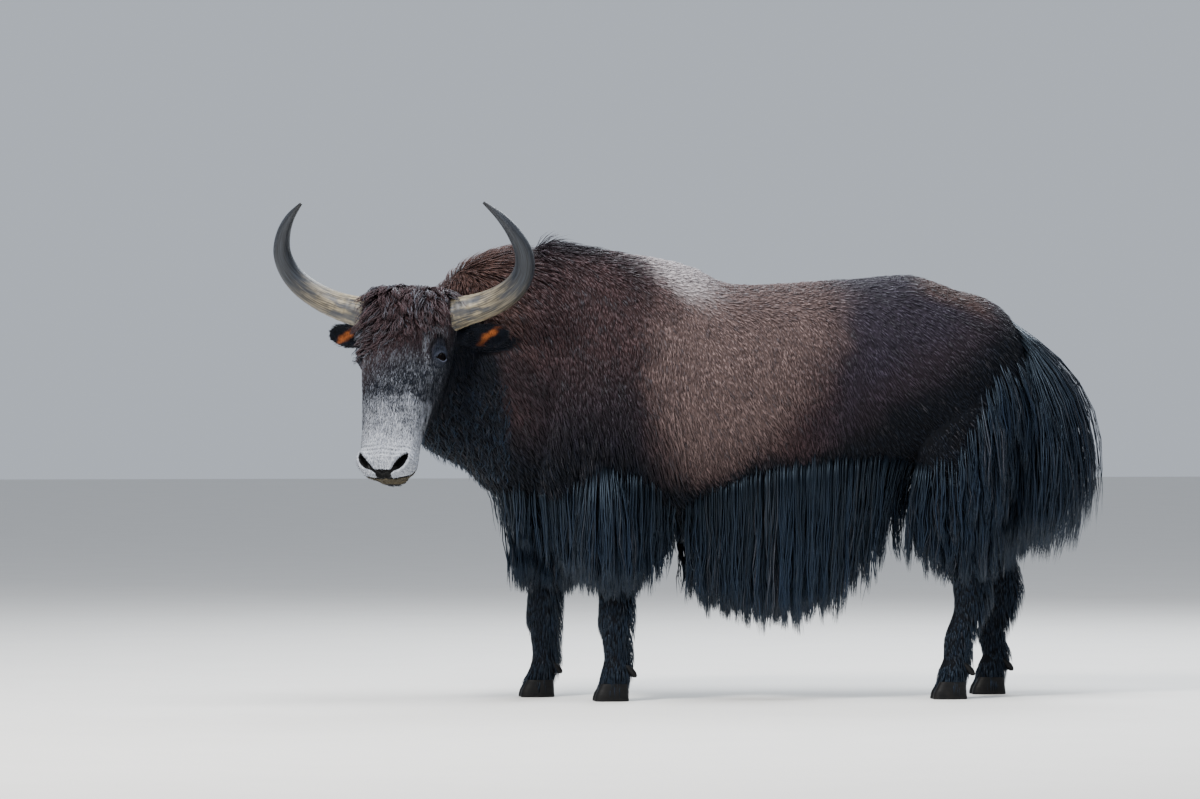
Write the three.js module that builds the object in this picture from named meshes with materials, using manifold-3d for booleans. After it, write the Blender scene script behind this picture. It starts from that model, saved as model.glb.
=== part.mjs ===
// A yak bull, life size, standing with its head turned to its left.
// Millimetres, +Z up. The body lies along X and faces -X, its left side is -Y, and its claws stand at z = 0.
import * as THREE from "three";
import { mergeVertices } from "three/addons/utils/BufferGeometryUtils.js";
import Module from "manifold-3d";

const wasm = await Module();
wasm.setup();

// Driving sizes

const TOUCH_GAP = 0.3; // between neighbouring solids
const HEAD_PLACE = new THREE.Vector3(-1052, -200, 1376); // midway between the horn roots
const BODY_TO_HEAD_TURN = 65; // degrees from the body's line to the head's
const FACE_PITCH = 65; // degrees that the face drops below the horizon
const EYE_RADIUS = 21;
const HORN_ROOT_REACH = 188; // from the head's middle plane to where the horn leaves the hair
const EAR_ROOT_REACH = 182;
const LEG_CUT_HEIGHT = { fore: 325, hind: 405 }; // where the upper leg meets the lower one
const FOOT_REACH = 170; // from the body's middle plane to the middle of a foot
const CLAW_HEIGHT = 62;
const BARREL_FROM = -60; // x of the cuts through the torso
const BARREL_TO = 700;
const SKIRT_STRIP = { top: 905, reach: 225 }; // the fold of flank that the skirt grows from
const BRISKET_CUT = { x: -500, top: 830 };
const HAIR_SEED = 41;

const SIDES = [
  { name: "left", sign: -1 },
  { name: "right", sign: 1 },
];
const UP = new THREE.Vector3(0, 0, 1);
const DOWN = new THREE.Vector3(0, 0, -1);
const BACKWARDS = new THREE.Vector3(1, 0, 0);
const FORWARDS = new THREE.Vector3(-1, 0, 0);
const RIGHTWARDS = new THREE.Vector3(0, 1, 0);

// Solids

// A closed geometry as a manifold, turned face out.
function solid(geometry) {
  geometry.deleteAttribute("normal");
  geometry.deleteAttribute("uv");
  const merged = mergeVertices(geometry, 1e-3);
  const corners = new Uint32Array(merged.index.array);
  const vertProperties = merged.attributes.position.array;
  const make = () => new wasm.Manifold(new wasm.Mesh({ numProp: 3, vertProperties, triVerts: corners }));
  const made = make();
  if (made.volume() > 0) return made;
  for (let i = 0; i < corners.length; i += 3) {
    [corners[i + 1], corners[i + 2]] = [corners[i + 2], corners[i + 1]];
  }
  return make();
}

const joined = (solids) => wasm.Manifold.union(solids);

// What stays of a solid once it is cut: its largest closed surface.
function largest(cut) {
  const pieces = cut.decompose();
  return pieces.reduce((best, piece) => (piece.volume() > best.volume() ? piece : best));
}

function geometryOf(made) {
  const mesh = made.getMesh();
  const places = new Float32Array(mesh.numVert * 3);
  for (let i = 0; i < mesh.numVert; i++) {
    places.set(mesh.vertProperties.subarray(i * mesh.numProp, i * mesh.numProp + 3), i * 3);
  }
  const geometry = new THREE.BufferGeometry();
  geometry.setAttribute("position", new THREE.BufferAttribute(places, 3));
  geometry.setIndex(new THREE.BufferAttribute(mesh.triVerts, 1));
  geometry.computeVertexNormals();
  return geometry;
}

// The part of a solid on the side of a plane that its normal points to, half a gap clear of the plane.
function beyond(made, point, normal) {
  const n = normal.clone().normalize();
  return made.trimByPlane(n.toArray(), point.dot(n) + TOUCH_GAP / 2);
}

const without = (made, others) => others.reduce((left, other) => left.subtract(other), made);

// Bodies of changing section

// One section: a centre, two axes, half the width, the reach each way along the second axis, and how
// square each half is (2 is an ellipse, less is pointed, more is boxy).
function section(at, across, rise, wide, up, down, above = 2, below = 2) {
  return [...at, ...across, ...rise, wide, up, down, above, below];
}

const FIELD = { wide: 9, up: 10, down: 11, above: 12, below: 13 };

// A smooth value of every field of the sections, at t from 0 at the first one to 1 at the last.
function sectionAt(sections, t) {
  const last = sections.length - 1;
  const place = Math.min(Math.max(t, 0), 1) * last;
  const i = Math.min(Math.floor(place), last - 1);
  const f = place - i;
  const row = (k) => sections[Math.min(Math.max(k, 0), last)];
  return sections[i].map((b, k) => {
    const a = row(i - 1)[k];
    const c = row(i + 1)[k];
    const d = row(i + 2)[k];
    return b + 0.5 * f * (c - a + f * (2 * a - 5 * b + 4 * c - d + f * (3 * (b - c) + d - a)));
  });
}

// A point of the surface, at an angle from the section's width axis towards its rise, grown outwards.
function surfacePoint(sections, t, angle, grow = 0, reach = 1) {
  const s = sectionAt(sections, t);
  const across = new THREE.Vector3(s[3], s[4], s[5]).normalize();
  const rise = new THREE.Vector3(s[6], s[7], s[8]).normalize();
  const c = Math.cos(angle);
  const h = Math.sin(angle);
  const power = 2 / (h >= 0 ? s[FIELD.above] : s[FIELD.below]);
  const wide = Math.sign(c) * Math.abs(c) ** power * (s[FIELD.wide] + grow);
  const tall = Math.sign(h) * Math.abs(h) ** power * ((h >= 0 ? s[FIELD.up] : s[FIELD.down]) + grow);
  return new THREE.Vector3(s[0], s[1], s[2])
    .addScaledVector(across, wide * reach)
    .addScaledVector(rise, tall * reach);
}

// A point of the surface with the way out of it.
function surfaceAt(sections, t, angle) {
  const step = 0.01;
  const along = surfacePoint(sections, t + step, angle).sub(surfacePoint(sections, t - step, angle));
  const around = surfacePoint(sections, t, angle + step).sub(surfacePoint(sections, t, angle - step));
  const at = surfacePoint(sections, t, angle);
  const out = along.cross(around).normalize();
  const fromMiddle = at.clone().sub(surfacePoint(sections, t, angle, 0, 0));
  return { at, out: out.dot(fromMiddle) < 0 ? out.negate() : out };
}

// The closed body through the sections.
function loft(sections, around, rings, grow = 0) {
  const geometry = new THREE.CylinderGeometry(1, 1, 1, around, rings);
  const places = geometry.attributes.position;
  for (let i = 0; i < places.count; i++) {
    const [x, y, z] = [places.getX(i), places.getY(i), places.getZ(i)];
    const reach = Math.hypot(x, z) > 0.5 ? 1 : 0;
    const p = surfacePoint(sections, 0.5 - y, Math.atan2(z, x), grow, reach);
    places.setXYZ(i, p.x, p.y, p.z);
  }
  return solid(geometry);
}

// The sections of a round body along a line of points, each with its radius.
function tubeSections(points, radii, rise) {
  const line = new THREE.CatmullRomCurve3(points);
  return radii.map((radius, i) => {
    const t = i / (radii.length - 1);
    const ahead = line.getTangent(t);
    const up = rise.clone().addScaledVector(ahead, -rise.dot(ahead)).normalize();
    const across = up.clone().cross(ahead).normalize();
    return section(line.getPoint(t).toArray(), across.toArray(), up.toArray(), radius, radius, radius);
  });
}

// Hair

const draw = (seed) => THREE.MathUtils.seededRandom(seed);
draw(HAIR_SEED);
const vary = (value, share) => value * (1 + share * (2 * draw() - 1));

// A flat, tapered lock. It leaves its root along the lie, and bends until it points along the fall.
// Its flat side faces out of the body, or where side points.
function lock({ at, out }, { lie, fall = DOWN, side = out, length, wide, thick, sink = 14, steps = 3 }) {
  const start = lie.clone().normalize();
  const root = at.clone().addScaledVector(out, -sink);
  const geometry = new THREE.ConeGeometry(1, 1, 4, steps);
  const places = geometry.attributes.position;
  for (let i = 0; i < places.count; i++) {
    const [x, y, z] = [places.getX(i), places.getY(i), places.getZ(i)];
    const t = y + 0.5;
    const ahead = start.clone().lerp(fall, t).normalize();
    const face = side.clone().addScaledVector(ahead, -side.dot(ahead)).normalize();
    const across = face.clone().cross(ahead);
    const size = Math.hypot(x, z) > 1e-6 ? 1 / Math.hypot(x, z) : 0;
    const taper = Math.sqrt(Math.max(1 - t, 0));
    const p = root
      .clone()
      .addScaledVector(start, length * (t - (t * t) / 2))
      .addScaledVector(fall, (length * t * t) / 2)
      .addScaledVector(across, x * size * (wide / 2) * (0.65 + 0.9 * t) * taper)
      .addScaledVector(face, z * size * (thick / 2) * taper);
    places.setXYZ(i, p.x, p.y, p.z);
  }
  return solid(geometry);
}

// Places spread over rows, each row shifted half a step from the last: { row, share } with share from 0 to 1.
function rowsOf(counts) {
  return counts.flatMap((count, row) =>
    Array.from({ length: count }, (_, i) => ({ row, share: (i + (row % 2 ? 0.75 : 0.25)) / count })),
  );
}

const blend = (from, to, share) => from + (to - from) * share;

// Torso with its hump

// From the breast to the buttocks: the height of the back, of the belly and of the widest level, and half
// the width.
const TORSO = [
  { x: -650, back: 1500, belly: 760, level: 1100, wide: 150, above: 2 },
  { x: -600, back: 1612, belly: 690, level: 1080, wide: 225, above: 1.7 },
  { x: -540, back: 1638, belly: 655, level: 1060, wide: 285, above: 1.6 },
  { x: -430, back: 1626, belly: 638, level: 1040, wide: 322, above: 1.5 },
  { x: -300, back: 1602, belly: 630, level: 1040, wide: 342, above: 1.6 },
  { x: -150, back: 1580, belly: 625, level: 1040, wide: 362, above: 1.75 },
  { x: -30, back: 1547, belly: 620, level: 1040, wide: 380, above: 1.9 },
  { x: 60, back: 1503, belly: 620, level: 1040, wide: 392, above: 2 },
  { x: 150, back: 1486, belly: 625, level: 1035, wide: 398, above: 2.1 },
  { x: 290, back: 1490, belly: 640, level: 1035, wide: 398, above: 2.1 },
  { x: 430, back: 1500, belly: 670, level: 1045, wide: 384, above: 2.1 },
  { x: 560, back: 1510, belly: 720, level: 1065, wide: 356, above: 2.1 },
  { x: 690, back: 1522, belly: 770, level: 1090, wide: 332, above: 2.1 },
  { x: 760, back: 1521, belly: 790, level: 1100, wide: 324, above: 2 },
  { x: 830, back: 1504, belly: 800, level: 1110, wide: 315, above: 1.9 },
  { x: 910, back: 1474, belly: 805, level: 1120, wide: 300, above: 1.9 },
  { x: 1000, back: 1450, belly: 820, level: 1130, wide: 270, above: 1.9 },
  { x: 1080, back: 1408, belly: 850, level: 1130, wide: 222, above: 1.9 },
  { x: 1140, back: 1330, belly: 930, level: 1120, wide: 155, above: 2 },
  { x: 1165, back: 1240, belly: 1000, level: 1120, wide: 80, above: 2 },
].map(({ x, back, belly, level, wide, above }) =>
  section([x, 0, level], [0, 1, 0], [0, 0, 1], wide, back - level, level - belly, above, 2.1),
);

const torsoFlesh = (grow = 0) => loft(TORSO, 22, 22, grow);
const torsoClear = torsoFlesh(TOUCH_GAP);

function torsoShareAt(x) {
  let [low, high] = [0, 1];
  for (let i = 0; i < 20; i++) {
    const t = (low + high) / 2;
    if (sectionAt(TORSO, t)[0] < x) low = t;
    else high = t;
  }
  return low;
}

// A place on the flank, at a height, with the way out of it.
function flankAt(x, z, sign) {
  const t = torsoShareAt(x);
  const s = sectionAt(TORSO, t);
  const rise = z - s[2];
  const power = s[rise > 0 ? FIELD.above : FIELD.below];
  const height = Math.min(Math.abs(rise) / s[rise > 0 ? FIELD.up : FIELD.down], 0.97) ** power;
  return surfaceAt(TORSO, t, Math.atan2(Math.sign(rise) * Math.sqrt(height), sign * Math.sqrt(1 - height)));
}

// The skirt along the flank, from front to back: where the long hair starts and where it ends.
const SKIRT = { x: [-45, 120, 300, 460, 585, 680], top: [770, 845, 875, 885, 885, 870] };
SKIRT.tip = [285, 228, 222, 245, 330, 455];

function along(values, share) {
  const place = Math.min(Math.max(share, 0), 0.999) * (values.length - 1);
  const i = Math.floor(place);
  return blend(values[i], values[i + 1], place - i);
}

function skirtHair(side) {
  const drops = [0, 62, 118];
  return rowsOf([9, 8, 8]).map(({ row, share }) => {
    const x = along(SKIRT.x, share) + 16 * (draw() - 0.5);
    const top = along(SKIRT.top, share) - vary(drops[row], 0.12);
    const root = flankAt(x, top, side.sign);
    const tip = along(SKIRT.tip, share) + 24 * row + 50 * draw();
    const lean = blend(-0.18, -0.12, share) + 0.16 * (draw() - 0.5);
    const lie = new THREE.Vector3(lean, 0, -1).addScaledVector(root.out, row ? 0.1 : 0.2);
    const length = (top - tip) * 1.03;
    return lock(root, { lie, length, wide: vary(140, 0.2), thick: 21, steps: row ? 3 : 4 });
  });
}

// Tufts stand along the top of the neck and hump in two overlapping rows, leaning back.
function crestTufts(sections, from, to, count) {
  return Array.from({ length: count }, (_, i) => {
    const t = blend(from, to, (i + 0.5) / count);
    const root = surfaceAt(sections, t, Math.PI / 2 + (i % 2 ? 0.13 : -0.13));
    const lie = root.out.clone().addScaledVector(BACKWARDS, vary(1.3, 0.3));
    const size = { length: vary(98, 0.15), wide: vary(58, 0.15), thick: 20, sink: 18, steps: 2 };
    return lock(root, { lie, fall: BACKWARDS, side: RIGHTWARDS, ...size });
  });
}

function chestHair() {
  return rowsOf([4, 4]).map(({ row, share }) => {
    const angle = -Math.PI / 2 + blend(-0.62, 0.62, share);
    const root = surfaceAt(TORSO, row ? 0.035 : 0.012, angle);
    const lie = new THREE.Vector3(-0.42, 0, -1).addScaledVector(root.out, 0.2);
    return lock(root, { lie, length: vary(row ? 250 : 275, 0.14), wide: vary(92, 0.15), thick: 22 });
  });
}

// Neck

// The head's own axes: leftwards across it, out of the forehead, and down the face to the muzzle.
const headTurn = THREE.MathUtils.degToRad(BODY_TO_HEAD_TURN);
const facePitch = THREE.MathUtils.degToRad(FACE_PITCH);
const HEADING = new THREE.Vector3(-Math.cos(headTurn), -Math.sin(headTurn), 0);
const HEAD_LEFT = UP.clone().cross(HEADING);
const FACE_DOWN = HEADING.clone()
  .multiplyScalar(Math.cos(facePitch))
  .addScaledVector(UP, -Math.sin(facePitch));
const FACE_OUT = FACE_DOWN.clone().cross(HEAD_LEFT);

// From the shoulders to inside the head: the centre, how far the section has turned towards the head,
// and its reaches.
const NECK = [
  { x: -480, y: 0, z: 1120, turn: 0, wide: 280, up: 440, down: 440, lean: 0 },
  { x: -600, y: 0, z: 1130, turn: 4, wide: 276, up: 470, down: 445, lean: 0 },
  { x: -720, y: -8, z: 1145, turn: 9, wide: 258, up: 458, down: 440, lean: 0 },
  { x: -845, y: -28, z: 1165, turn: 20, wide: 228, up: 384, down: 358, lean: 0 },
  { x: -935, y: -62, z: 1185, turn: 38, wide: 203, up: 288, down: 318, lean: 0.12 },
  { x: -1000, y: -100, z: 1212, turn: 54, wide: 178, up: 205, down: 262, lean: 0.3 },
  { x: -1045, y: -160, z: 1235, turn: 61, wide: 140, up: 150, down: 196, lean: 0.45 },
].map(({ x, y, z, turn, wide, up, down, lean }) => {
  const a = THREE.MathUtils.degToRad(turn);
  const across = new THREE.Vector3(-Math.sin(a), Math.cos(a), 0);
  const tilted = UP.clone().addScaledVector(HEADING, -lean);
  const rise = tilted.addScaledVector(across, -tilted.dot(across)).normalize();
  return section([x, y, z], across.toArray(), rise.toArray(), wide, up, down, 1.9, 1.8);
});

const neckClear = loft(NECK, 16, 9, TOUCH_GAP);

function throatHair() {
  return rowsOf([4, 5, 4]).map(({ row, share }) => {
    const t = blend(0.4, 0.88, share);
    const root = surfaceAt(NECK, t, -Math.PI / 2 + [-0.5, 0, 0.5][row] + 0.2 * (draw() - 0.5));
    const lie = new THREE.Vector3(0.9, 0.25, -1).addScaledVector(root.out, 0.3);
    return lock(root, { lie, length: vary(blend(84, 120, share), 0.15), wide: vary(84, 0.15), thick: 20 });
  });
}

// Head

// A place given by the head's axes, in the body's frame.
function onHead(left, out, down) {
  return HEAD_PLACE.clone()
    .addScaledVector(HEAD_LEFT, left)
    .addScaledVector(FACE_OUT, out)
    .addScaledVector(FACE_DOWN, down);
}

const headMiddle = (down) => onHead(0, 0, down).toArray();

// Down the face from the poll: half the width, and the reach to the face and to the jaw.
const HEAD = [
  { down: -80, wide: 92, front: 4, back: 60, square: 2.2 },
  { down: -64, wide: 136, front: 46, back: 106, square: 2.4 },
  { down: -38, wide: 160, front: 88, back: 146, square: 2.6 },
  { down: 5, wide: 172, front: 116, back: 172, square: 2.7 },
  { down: 75, wide: 168, front: 128, back: 188, square: 2.7 },
  { down: 140, wide: 161, front: 127, back: 196, square: 2.7 },
  { down: 200, wide: 152, front: 119, back: 200, square: 2.6 },
  { down: 265, wide: 140, front: 110, back: 194, square: 2.5 },
  { down: 335, wide: 127, front: 101, back: 168, square: 2.5 },
  { down: 410, wide: 117, front: 93, back: 138, square: 2.5 },
  { down: 480, wide: 109, front: 87, back: 118, square: 2.4 },
  { down: 535, wide: 107, front: 83, back: 108, square: 2.4 },
  { down: 583, wide: 107, front: 76, back: 98, square: 2.4 },
  { down: 612, wide: 98, front: 62, back: 84, square: 2.3 },
  { down: 632, wide: 78, front: 44, back: 62, square: 2.2 },
  { down: 642, wide: 46, front: 24, back: 36, square: 2 },
].map(({ down, wide, front, back, square }) =>
  section(headMiddle(down), HEAD_LEFT.toArray(), FACE_OUT.toArray(), wide, front, back, square, 2.1),
);

// An ellipsoid on the head, with its first axis turned from leftwards towards out of the face.
function headEllipsoid(place, radii, turn = 0, around = 8) {
  const geometry = new THREE.SphereGeometry(1, around, Math.round(around * 0.7));
  geometry.applyMatrix4(new THREE.Matrix4().makeScale(...radii));
  geometry.applyMatrix4(new THREE.Matrix4().makeRotationZ(turn));
  geometry.applyMatrix4(new THREE.Matrix4().makeBasis(HEAD_LEFT, FACE_OUT, FACE_DOWN));
  const at = onHead(...place);
  return solid(geometry.translate(at.x, at.y, at.z));
}

// The eye looks sideways and a little ahead, through an opening between two lids.
const EYE = { left: 141, out: 28, down: 196, turn: 0.45 };
const leftOf = (side) => -side.sign;

function eyePlace(side, ahead = 0) {
  const left = EYE.left + ahead * Math.cos(EYE.turn);
  return [leftOf(side) * left, EYE.out + ahead * Math.sin(EYE.turn), EYE.down];
}

function eyeball(side, grow = 0) {
  return headEllipsoid(eyePlace(side), Array(3).fill(EYE_RADIUS + grow), 0, 12);
}

function eyeTurn(side) {
  return leftOf(side) * EYE.turn;
}

function lids(side) {
  const ring = new THREE.TorusGeometry(21, 6.5, 5, 10);
  ring.applyMatrix4(new THREE.Matrix4().makeRotationY(Math.PI / 2));
  ring.applyMatrix4(new THREE.Matrix4().makeScale(1.3, 0.74, 1.08));
  ring.applyMatrix4(new THREE.Matrix4().makeRotationZ(eyeTurn(side)));
  ring.applyMatrix4(new THREE.Matrix4().makeBasis(HEAD_LEFT, FACE_OUT, FACE_DOWN));
  const at = onHead(...eyePlace(side, 11));
  return solid(ring.translate(at.x, at.y, at.z));
}

// The bare head: skull, orbits with their lids, and soft parts of the muzzle.
function headFlesh(grow = 0) {
  const lumps = [loft(HEAD, 18, 19, grow)];
  for (const side of SIDES) {
    const left = leftOf(side);
    lumps.push(headEllipsoid([left * 132, 26, 186], [34 + grow, 44 + grow, 54 + grow], eyeTurn(side)));
    lumps.push(headEllipsoid([left * 56, 22, 586], [56 + grow, 51 + grow, 50 + grow]));
  }
  lumps.push(headEllipsoid([0, -64, 598], [66 + grow, 40 + grow, 40 + grow]));
  return joined(lumps);
}

// Each nostril is a groove that runs from beside the lip up and outwards, widest in its middle.
function nostril(side) {
  const line = [
    [26, 40, 640],
    [42, 50, 634],
    [62, 60, 618],
    [78, 62, 598],
    [88, 62, 578],
  ].map(([left, out, down]) => onHead(leftOf(side) * left, out, down));
  return loft(tubeSections(line, [7, 12, 13, 10, 4], FACE_OUT), 8, 6);
}

// The mouth is a thin slit round the front of the muzzle, back to the corners of the lips.
function mouthLine() {
  const slab = new THREE.BoxGeometry(260, 5, 190);
  slab.applyMatrix4(new THREE.Matrix4().makeRotationX(0.12));
  slab.applyMatrix4(new THREE.Matrix4().makeBasis(HEAD_LEFT, FACE_OUT, FACE_DOWN));
  const at = onHead(0, -44, 610);
  return solid(slab.translate(at.x, at.y, at.z)).subtract(loft(HEAD, 10, 8, -13));
}

// Curly hair falls over the forehead from the poll, and stands up in tufts beside the horns.
function forelock() {
  const falls = rowsOf([4, 5, 4, 3]).map(({ row, share }) => {
    const angle = Math.PI / 2 + blend(1, -1, share) * (row > 2 ? 0.6 : 1);
    const root = surfaceAt(HEAD, [0.12, 0.19, 0.26, 0.33][row], angle + 0.1 * (draw() - 0.5));
    const lie = FACE_DOWN.clone()
      .addScaledVector(root.out, 0.72)
      .addScaledVector(HEAD_LEFT, 0.5 * Math.cos(angle) + 0.5 * (draw() - 0.5));
    const fall = FACE_DOWN.clone().addScaledVector(root.out, 0.03).normalize();
    return lock(root, { lie, fall, length: vary(116, 0.15), wide: vary(84, 0.15), thick: 20, sink: 10 });
  });
  const tufts = [-118, -84, 80, 116].map((left) => {
    const root = { at: onHead(left, 20, -58), out: FACE_DOWN.clone().negate() };
    const lie = UP.clone().addScaledVector(HEAD_LEFT, left / 260);
    return lock(root, { lie, fall: FACE_OUT, length: vary(62, 0.15), wide: 58, thick: 26, steps: 2 });
  });
  return [...falls, ...tufts];
}

function jawHair() {
  return rowsOf([3, 3]).map(({ row, share }) => {
    const root = surfaceAt(HEAD, blend(0.6, 0.78, share), -Math.PI / 2 + (row ? 0.5 : -0.5));
    const lie = DOWN.clone().addScaledVector(root.out, 0.5);
    return lock(root, { lie, length: vary(74, 0.15), wide: vary(60, 0.15), thick: 18, sink: 12, steps: 2 });
  });
}

// Horns run out, up and ahead, then in at the tips: out from the middle plane, ahead, and up.
const HORN = {
  line: [
    [150, 0, -16],
    [200, 0, 0],
    [265, 0, 17],
    [338, 6, 48],
    [400, 26, 92],
    [438, 56, 146],
    [447, 98, 208],
    [426, 140, 272],
    [388, 176, 328],
    [337, 204, 376],
  ],
  radii: [56, 53, 49, 45, 41, 36, 31, 24.5, 16, 5],
};

function besideHead(side, [out, ahead, up]) {
  return HEAD_PLACE.clone()
    .addScaledVector(HEAD_LEFT, leftOf(side) * out)
    .addScaledVector(HEADING, ahead)
    .addScaledVector(UP, up);
}

function hornWhole(side) {
  const line = HORN.line.map((place) => besideHead(side, place));
  return loft(tubeSections(line, HORN.radii, HEADING), 10, 15);
}

// Ears: a leaf with a cup in its front.
const EAR = { root: [150, -34, -96], tip: [334, -78, -84], wide: 39, thick: 22 };
EAR.outline = [0.6, 0.78, 0.92, 1, 1, 0.93, 0.72, 0.3];

function earLeaf(side, { from, to, scale, ahead }) {
  const root = besideHead(side, EAR.root).addScaledVector(HEADING, ahead);
  const tip = besideHead(side, EAR.tip).addScaledVector(HEADING, ahead);
  const line = tip.clone().sub(root).normalize();
  const face = HEADING.clone().multiplyScalar(0.92).addScaledVector(UP, -0.25);
  face.addScaledVector(line, -face.dot(line)).normalize();
  const across = face.clone().cross(line);
  const sections = EAR.outline.map((share, i) => {
    const at = root.clone().lerp(tip, blend(from, to, i / (EAR.outline.length - 1)));
    const thick = EAR.thick * share;
    return section(at.toArray(), across.toArray(), face.toArray(), EAR.wide * scale * share, thick, thick);
  });
  return loft(sections, 8, 6);
}

function ear(side) {
  const leaf = earLeaf(side, { from: 0, to: 1, scale: 1, ahead: 0 });
  return leaf.subtract(earLeaf(side, { from: 0.3, to: 0.93, scale: 0.72, ahead: 17 }));
}

// Legs

// From the top down: height, place along the body, half the distance between the pair, reach behind and
// ahead, and half the width. The joint and the foot set how far the leg leans.
function foreLeg({ knee, hoof }) {
  const shoulder = -400 + 0.25 * (knee + 326);
  return [
    [1100, shoulder, 215, 150, 150, 70],
    [940, blend(shoulder, knee, 0.08), 215, 150, 140, 92],
    [800, blend(shoulder, knee, 0.25), 206, 132, 115, 96],
    [680, blend(shoulder, knee, 0.5), 194, 108, 92, 86],
    [560, blend(shoulder, knee, 0.78), 183, 84, 76, 73],
    [440, blend(shoulder, knee, 0.93), 175, 70, 66, 63],
    [340, knee, 171, 66, 66, 62],
    [275, knee, FOOT_REACH, 62, 68, 62],
    [220, knee + 3, FOOT_REACH, 55, 56, 54],
    [160, knee + 6, FOOT_REACH, 54, 52, 51],
    [112, knee + 4, FOOT_REACH, 62, 58, 58],
    [76, hoof + 3, FOOT_REACH, 56, 58, 56],
    [50, hoof, FOOT_REACH, 58, 62, 58],
  ];
}

function hindLeg({ hock, hoof }) {
  const hip = 910 + 0.5 * (hock - 944);
  return [
    [1230, hip, 180, 120, 130, 70],
    [1080, hip - 5, 198, 172, 178, 92],
    [930, hip - 15, 202, 172, 180, 100],
    [800, hip - 20, 198, 155, 162, 94],
    [670, blend(hip, hock, 0.05), 188, 130, 130, 82],
    [550, blend(hip, hock, 0.5), 179, 104, 98, 70],
    [450, blend(hip, hock, 0.9), 173, 84, 78, 60],
    [375, hock + 2, FOOT_REACH, 74, 66, 54],
    [310, hock - 6, FOOT_REACH, 60, 60, 50],
    [225, blend(hock - 38, hoof, 0.15), FOOT_REACH, 54, 54, 48],
    [150, hoof + 18, FOOT_REACH, 53, 53, 50],
    [108, hoof + 8, FOOT_REACH, 60, 58, 56],
    [74, hoof + 2, FOOT_REACH, 56, 58, 55],
    [50, hoof, FOOT_REACH, 58, 62, 58],
  ];
}

const LEGS = [
  { kind: "fore", side: SIDES[0], rows: foreLeg, knee: -326, hoof: -332 },
  { kind: "fore", side: SIDES[1], rows: foreLeg, knee: -541, hoof: -556 },
  { kind: "hind", side: SIDES[0], rows: hindLeg, hock: 944, hoof: 878 },
  { kind: "hind", side: SIDES[1], rows: hindLeg, hock: 1118, hoof: 1080 },
].map((leg) => ({
  ...leg,
  cut: new THREE.Vector3(0, 0, LEG_CUT_HEIGHT[leg.kind]),
  sections: leg.rows(leg).map(([z, x, reach, behind, ahead, wide]) =>
    section([x, leg.side.sign * reach, z], [0, 1, 0], [1, 0, 0], wide, behind, ahead, 2.1, 2.1),
  ),
}));

// Long hair round a leg, spreading as it falls: rows of locks down the leg, round from its front to its back.
function legHair({ side, sections }, { counts, from, to, tips, arc, spread, back = 0 }) {
  const outer = side.sign < 0 ? Math.PI : 0;
  return rowsOf(counts).map(({ row, share }) => {
    const t = blend(from, to, row / (counts.length - 1));
    const turn = blend(-arc, arc, share) + 0.12 * (draw() - 0.5);
    const root = surfaceAt(sections, t, outer + side.sign * turn);
    const lie = new THREE.Vector3(back, 0, -1)
      .addScaledVector(root.out, 0.24)
      .addScaledVector(BACKWARDS, spread * root.out.x);
    const tip = tips + 50 * Math.abs(2 * share - 1) + 45 * draw();
    return lock(root, { lie, length: (root.at.z - tip) * 1.06, wide: vary(122, 0.15), thick: 20 });
  });
}

const foreLegHair = (leg) =>
  legHair(leg, { counts: [5, 5], from: 0.18, to: 0.3, tips: 345, arc: 1.75, spread: 0.5 });
const thighHair = (leg) =>
  legHair(leg, { counts: [4, 5, 4], from: 0.15, to: 0.34, tips: 385, arc: 1.7, spread: 0.18, back: 0.04 });

// A pair of claws stands under each foot, and two dew claws hang behind the fetlock.
const CLAW = { length: 122, wide: 54, apart: 29 };

function claw(hoof, y) {
  const slice = (z, grow, shift) => {
    const reach = CLAW.length / 2 + grow;
    const wide = CLAW.wide / 2 + grow / 3;
    return section([hoof - 10 + shift, y, z], [0, 1, 0], [1, 0, 0], wide, reach, reach, 2.4);
  };
  return loft([slice(CLAW_HEIGHT, -16, 8), slice(CLAW_HEIGHT / 2, -6, 2), slice(0, 0, 0)], 8, 2);
}

function dewClaw(hoof, y) {
  const slice = (z, size, shift) =>
    section([hoof + 62 + shift, y, z], [0, 1, 0], [1, 0, 0], 15 * size, 19 * size, 19 * size);
  return loft([slice(128, 0.75, -14), slice(108, 1, 0), slice(84, 0.7, 12)], 6, 2);
}

// Tail

const DOCK = {
  line: [
    [1055, 0, 1365],
    [1128, 0, 1292],
    [1190, 0, 1185],
    [1228, 0, 1060],
    [1240, 0, 930],
  ],
  radii: [54, 56, 62, 60, 42],
};
const DOCK_SECTIONS = tubeSections(DOCK.line.map((p) => new THREE.Vector3(...p)), DOCK.radii, RIGHTWARDS);

// Hair falls from all round the dock, shorter near its root.
function tailHair() {
  return rowsOf([4, 5, 4, 3]).map(({ row, share }) => {
    const t = blend(0.36, 0.97, row / 3);
    const root = surfaceAt(DOCK_SECTIONS, t, 2 * Math.PI * share);
    const lie = DOWN.clone().addScaledVector(root.out, row ? 0.5 : 0.3).addScaledVector(BACKWARDS, 0.16);
    const tip = [740, 620, 530, 500][row] + 60 * draw();
    return lock(root, { lie, length: (root.at.z - tip) * 1.1, wide: vary(132, 0.15), thick: 24, sink: 16 });
  });
}

// The animal put together

const nodes = [];

function keep(name, finish, made) {
  const node = { name, finish, made: largest(made) };
  nodes.push(node);
  return node.made;
}

const headClear = headFlesh(TOUCH_GAP);

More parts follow.
